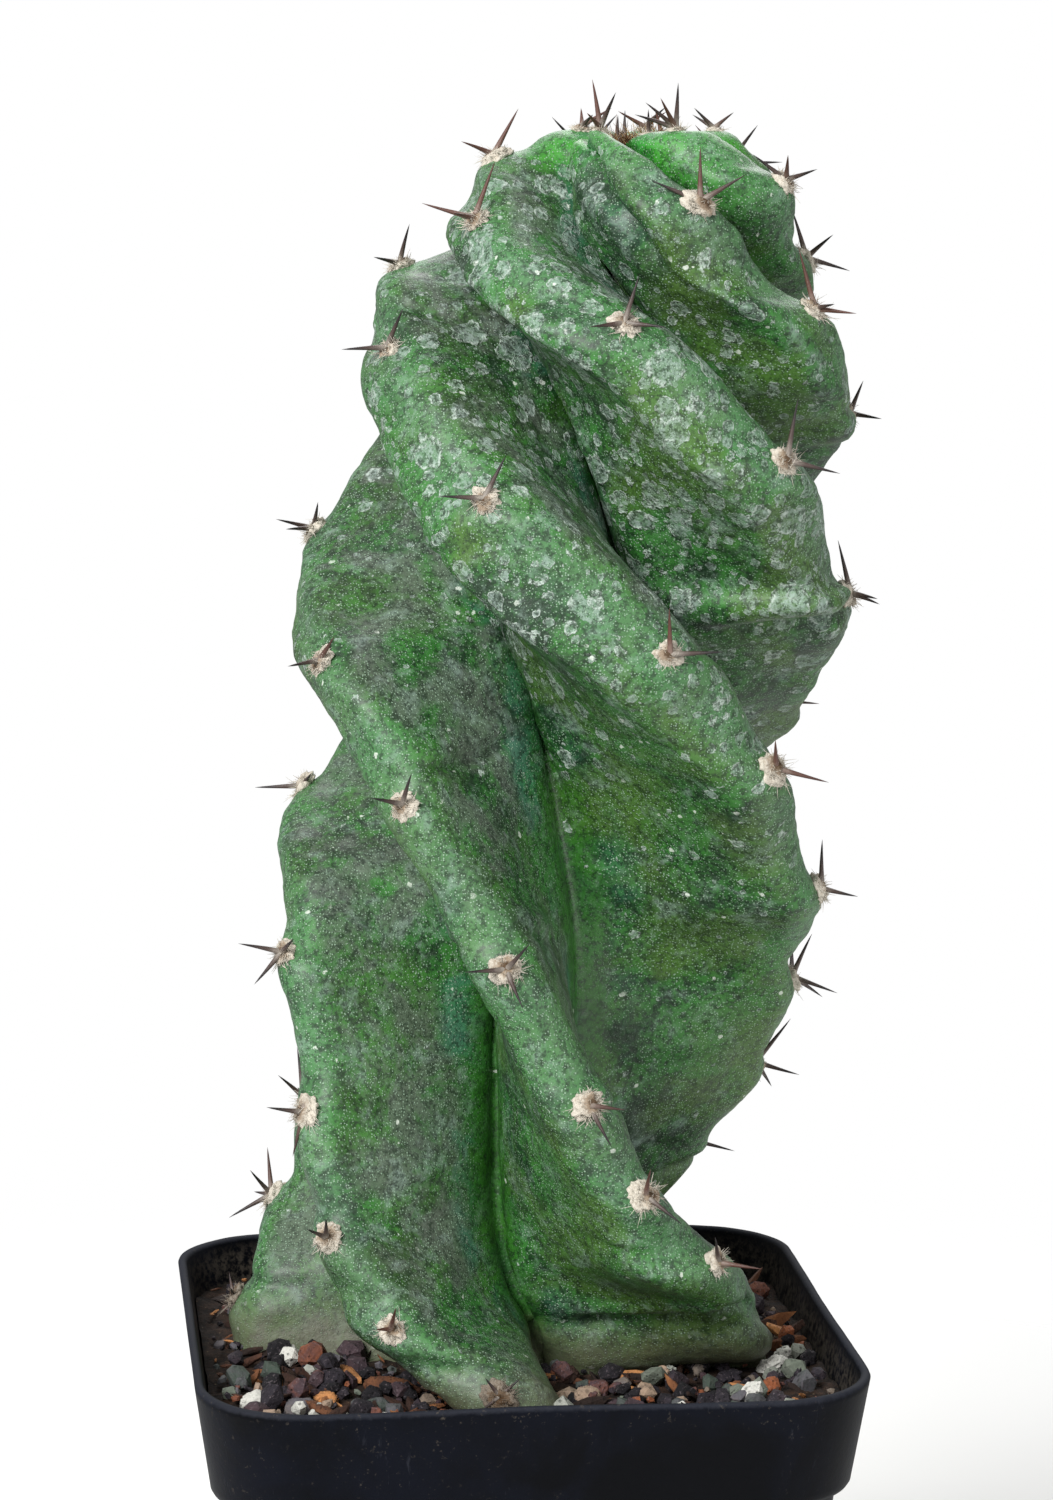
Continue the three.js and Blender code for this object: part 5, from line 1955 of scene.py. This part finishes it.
@dataclass
class Ground:
    """The soil's surface inside the pot and the height it has anywhere.

    The crumbs hold a height, a spacing and a seed.
    """

    pot: Pot
    finish: SoilFinish = field(default_factory=SoilFinish)
    level: float = 84.2
    slope: float = 0.012
    bump: float = 0.54
    clearance: float = 0.35
    bottom: float = 62
    side_top: float = 2
    side_rings: int = 6
    rings: int = 46
    innermost: float = 0.02
    corner_steps: int = 10
    edge_steps: int = 18
    crumbs: tuple[Row, ...] = ((0.55, 3.1, 41), (0.3, 1.5, 42))
    sunk: float = 0.5

    def height(self, x: np.ndarray, y: np.ndarray) -> np.ndarray:
        """The soil's broad height, a slope with two crossing waves.

        Args:
            x: Places across the pot.
            y: Places from front to back.

        Returns:
            The height at each place.
        """
        bumps = np.sin(0.31 * x + 1.3) * np.cos(0.27 * y) + 0.6 * np.sin(0.55 * y - 0.4 * x + 2)
        return self.level - self.slope * y + self.bump * bumps

    def rim(self, z: float) -> np.ndarray:
        """The soil's edge at a height, just clear of the pot."""
        half = self.pot.inside(z) - self.clearance
        return self.pot.outline(half, self.corner_steps, self.edge_steps)

    def build(self) -> None:
        """Makes the soil, crumbly on top."""
        rings = []
        for z in np.linspace(self.bottom, self.level - self.side_top, self.side_rings):
            flat = self.rim(z)
            rings.append(np.column_stack([flat, np.full(len(flat), z)]))
        rim = self.rim(self.level)
        for share in np.linspace(1, self.innermost, self.rings):
            flat = rim * share
            spot = np.column_stack([flat, self.height(flat[:, 0], flat[:, 1])])
            crumb = sum(size * lumps(spot, spacing, seed) for size, spacing, seed in self.crumbs)
            spot[:, 2] += crumb - self.sunk
            rings.append(spot)
        points, faces = capped(np.array(rings), [(0, 0, self.bottom), (0, 0, self.level)])
        piece = Shape(points, faces).piece("soil_bed", self.finish.build(), "potting_soil")
        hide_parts("soil")


@dataclass
class Rocks:
    """Broken stones and chips: those of the CAD, finer, and the small ones between them.

    A grain's size holds the least one, how much a draw adds and the power of the draw. Its tumble
    holds the axes that it is turned about and between which angles. The lumps of a large piece
    hold a height, a spacing and a seed.
    """

    ground: Ground
    skin: CactusSkin
    families: int = 14
    corners: int = 13
    corner_turn: Row = (2.4, 0.9)
    corner_push: Row = (0.75, 0.25)
    grain_counts: dict[Kind, int] = field(default_factory=lambda: {
        Kind.LAVA: 760, Kind.BARK: 520, Kind.GRAVEL: 230, Kind.PUMICE: 90})
    patch: float = 46
    grain_size: Row = (0.65, 2.5, 2.4)
    wall_gap: float = 1.2
    corner_share: float = 0.95
    foot_gap: float = 0.4
    foot_ring: int = 8
    stone_width: Pair = (0.6, 1)
    stone_height: Pair = (0.5, 0.9)
    chip_length: Pair = (1.2, 2.6)
    chip_width: Pair = (0.3, 0.7)
    chip_height: float = 0.35
    tumble: tuple[tuple[str, float, float], ...] = (
        ("Z", 0, 6.28), ("Y", -0.6, 0.6), ("X", 0, 6.28))
    raised: Pair = (-0.1, 0.9)
    lift: float = 0.15
    tint_power: float = 1.5
    bevel: float = 0.28
    edge_length: float = 0.42
    splits: int = 2
    rough: dict[Kind, float] = field(default_factory=lambda: {
        Kind.PUMICE: 0.34, Kind.GRAVEL: 0.16, Kind.LAVA: 0.34, Kind.BARK: 0.22})
    fine_lumps: tuple[Row, ...] = ((1, 1.3, 51), (0.6, 0.6, 52))
    broad_lumps: Row = (0.35, 3, 53)
    lumps_shift: float = 50
    sunk: float = 0.1
    seed: int = 61

    def build(self) -> None:
        """Makes the large pieces and then the small ones of each kind."""
        finishes = {kind: finish.build() for kind, finish in STONES.items()}
        random = np.random.default_rng(self.seed)
        for name in sorted(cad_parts):
            kind = next((k for k in Kind if name.startswith(k.value + "_")), None)
            if kind:
                self.large(name, kind, finishes[kind], random)
        library = [self.broken(random) for _ in range(self.families)]
        foot = self.skin.grid[-self.foot_ring][:, :2]
        for kind, count in self.grain_counts.items():
            grains = [self.grain(kind, library, foot, random) for _ in range(count)]
            name, slot = kind.value + "_grains", STONES[kind].name
            joined(grains).piece(name, finishes[kind], slot, False)

    def broken(self, random: Draws) -> Mesh:
        """A small angular lump of unit size.

        Args:
            random: The draws.

        Returns:
            The points and the faces.
        """
        mesh = bmesh.new()
        (turn_step, turn_play), (least, play) = self.corner_turn, self.corner_push
        for i in range(self.corners):
            up = 1 - 2 * (i + 0.5) / self.corners
            turn = i * turn_step + turn_play * random.random()
            level = math.sqrt(1 - up * up)
            push = least + play * random.random()
            mesh.verts.new((level * math.cos(turn) * push, level * math.sin(turn) * push, up * push))
        bmesh.ops.convex_hull(mesh, input=mesh.verts)
        return taken(mesh)

    def grain(self, kind: Kind, library: list, foot: np.ndarray,
              random: Draws) -> Shape:
        """One small stone or chip, dropped clear of the stem's foot.

        Args:
            kind: What it is made of.
            library: The forms to take one from.
            foot: The stem's outline at the soil.
            random: The draws.

        Returns:
            The stone.
        """
        points, faces = library[random.integers(len(library))]
        x, y, size = self.spot(foot, random)
        scale = np.array([1, random.uniform(*self.stone_width), random.uniform(*self.stone_height)])
        if kind is Kind.BARK:
            length, width = random.uniform(*self.chip_length), random.uniform(*self.chip_width)
            scale = np.array([length, width, self.chip_height])
        scale = size * scale
        tilt = Matrix.Identity(3)
        for axis, low, high in self.tumble:
            tilt = tilt @ Matrix.Rotation(random.uniform(low, high), 3, axis)
        spot = (points * scale) @ np.array(tilt).T
        rest = float(self.ground.height(np.array(x), np.array(y)))
        spot += (x, y, rest + random.uniform(*self.raised) * scale[2] + self.lift)
        return Shape(spot, faces, even(points, tint=random.random() ** self.tint_power))

    def spot(self, foot: np.ndarray, random: Draws) -> Row:
        """A free place on the soil.

        Args:
            foot: The stem's outline at the soil.
            random: The draws.

        Returns:
            The place and the size of the stone that lies there.
        """
        least, play, power = self.grain_size
        corner = self.ground.pot.rim_corner * self.corner_share
        while True:
            x, y = random.uniform(-self.patch, self.patch, 2)
            size = least + play * random.random() ** power
            half = self.ground.pot.inside(self.ground.level) - self.wall_gap - size
            over = np.maximum(np.abs((x, y)) - (half - corner), 0)
            gap = np.min(np.hypot(foot[:, 0] - x, foot[:, 1] - y))
            if np.hypot(*over) < corner and gap > self.foot_gap * size:
                return x, y, size

    def large(self, name: str, kind: Kind, finish: bpy.types.Material,
              random: Draws) -> None:
        """A finer piece on the corners of one CAD stone, with broken edges and a rough face.

        Args:
            name: The name of the CAD stone.
            kind: What it is made of.
            finish: Its material.
            random: The draws.
        """
        mesh = bmesh.new()
        for corner in {tuple(np.round(v.co[:], 7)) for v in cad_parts[name].data.vertices}:
            mesh.verts.new([c / MM for c in corner])
        bmesh.ops.convex_hull(mesh, input=mesh.verts)
        bmesh.ops.bevel(mesh, geom=mesh.edges, offset=self.bevel, segments=2, affect="EDGES")
        bmesh.ops.triangulate(mesh, faces=mesh.faces)
        for _ in range(self.splits):
            long = [e for e in mesh.edges if e.calc_length() > self.edge_length]
            bmesh.ops.subdivide_edges(mesh, edges=long, cuts=1)
            bmesh.ops.triangulate(mesh, faces=mesh.faces)
        mesh.normal_update()
        normals = np.array([v.normal[:] for v in mesh.verts])
        points, faces = taken(mesh)
        there = points + self.lumps_shift * random.random(3)
        fine = sum(size * lumps(there, spacing, seed) for size, spacing, seed in self.fine_lumps)
        size, spacing, seed = self.broad_lumps
        push = self.rough[kind] * fine + size * lumps(there, spacing, seed)
        points = points + normals * (push - self.sunk)[:, None]
        held = even(points, tint=TINTS.get(name, random.random()))
        piece = Shape(points, faces, held).piece(name + "_stone", finish, STONES[kind].name)
        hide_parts(name)


# The studio


@dataclass
class Studio:
    """A pale floor that fades into white, soft lights and the camera at the photograph's place."""

    camera_place: Place = (-72.54, -644.39, 276.01)
    heading: float = math.radians(-6.571)
    pitch: float = math.radians(8.589)
    roll: float = math.radians(0.616)
    sensor: float = 36.0
    focal: float = 103.64
    floor_colour: Colour = colour("f4f4f2")
    floor_shade: Colour = colour("ececea")
    floor_fade: Pair = (0.16, 0.42)
    floor_size: float = 0.6
    ambient: float = 0.47
    aim: Place = (0, 0, 0.15)
    lights: tuple[tuple[str, Place, float, float], ...] = (
        ("key", (-0.55, -0.7, 0.75), 0.4, 15.5),
        ("fill", (0.7, -0.8, 0.15), 0.6, 3.6),
        ("back", (0.2, 0.9, 0.8), 0.6, 6.0),
    )

    def build(self) -> None:
        """Makes all of it."""
        self.camera()
        self.floor()
        for name, place, size, power in self.lights:
            self.light(name, place, size, power)
        self.world()

    def camera(self) -> None:
        """Places the camera."""
        level = math.cos(self.pitch)
        forward = np.array([-math.sin(self.heading) * level, math.cos(self.heading) * level,
                            -math.sin(self.pitch)])
        right = unit(np.cross(forward, (0, 0, 1)))
        up = np.cross(right, forward)
        turned = right * math.cos(self.roll) + up * math.sin(self.roll)
        up = up * math.cos(self.roll) - right * math.sin(self.roll)
        data = bpy.data.cameras.new("camera")
        data.sensor_width, data.lens, data.clip_start = self.sensor, self.focal, 0.01
        camera = bpy.data.objects.new("camera", data)
        rows = [(*row, place * MM) for row, place
                in zip(np.array([turned, up, -forward]).T, self.camera_place)]
        camera.matrix_world = Matrix([*rows, (0, 0, 0, 1)])
        bpy.context.scene.collection.objects.link(camera)
        bpy.context.scene.camera = camera

    def floor(self) -> None:
        """A pale floor that fades out round the pot."""
        mesh = bpy.data.meshes.new("floor")
        far = self.floor_size
        corners = [(-far, -far, 0), (far, -far, 0), (far, far, 0), (-far, far, 0)]
        mesh.from_pydata(corners, [], [(0, 1, 2, 3)])
        t = Tree.material("floor")
        away = t.node("VectorMath", {"operation": "LENGTH"}, {0: t.place}, "Value")
        tone = t.mix(self.floor_colour, self.floor_shade, t.noise(90, 2))
        fade = 1 - t.rise(away, *self.floor_fade)
        mesh.materials.append(t.finish({"Base Color": tone, "Alpha": fade}, {"Roughness": 0.9}))
        floor = bpy.data.objects.new("floor", mesh)
        bpy.context.scene.collection.objects.link(floor)

    def light(self, name: str, place: Place, size: float, power: float
              ) -> None:
        """A soft square light that faces the plant.

        Args:
            name: Its name.
            place: Where it stands, in metres.
            size: The length of its side, in metres.
            power: Its power, in watts.
        """
        data = bpy.data.lights.new(name, "AREA")
        data.size, data.energy = size, power
        light = bpy.data.objects.new(name, data)
        light.location = place
        light.rotation_mode = "QUATERNION"
        light.rotation_quaternion = (Vector(self.aim) - Vector(place)).to_track_quat("-Z", "Y")
        bpy.context.scene.collection.objects.link(light)

    def world(self) -> None:
        """White surroundings, which light the plant softly."""
        world = bpy.data.worlds.new("studio")
        t = Tree(world)
        shown = t.node("LightPath", output="Is Camera Ray")
        strength = self.ambient + (1 - self.ambient) * shown
        back = t.node("Background", {}, {"Color": (1.0, 1.0, 1.0), "Strength": strength})
        t.node("OutputWorld", {}, {"Surface": back})
        bpy.context.scene.world = world
        bpy.context.scene.view_settings.view_transform = "Standard"


def main() -> None:
    """Builds the studio, the plant and the pot in order."""
    logging.basicConfig(level=logging.INFO, format="%(name)s: %(message)s")
    Studio().build()
    pot = Pot()
    pot.build()
    ground = Ground(pot)
    ground.build()
    skin = CactusSkin(StemForm())
    skin.build()
    Areoles(skin).build()
    GrowingTip(skin).build()
    Rocks(ground, skin).build()


if __name__ == "__main__":
    main()
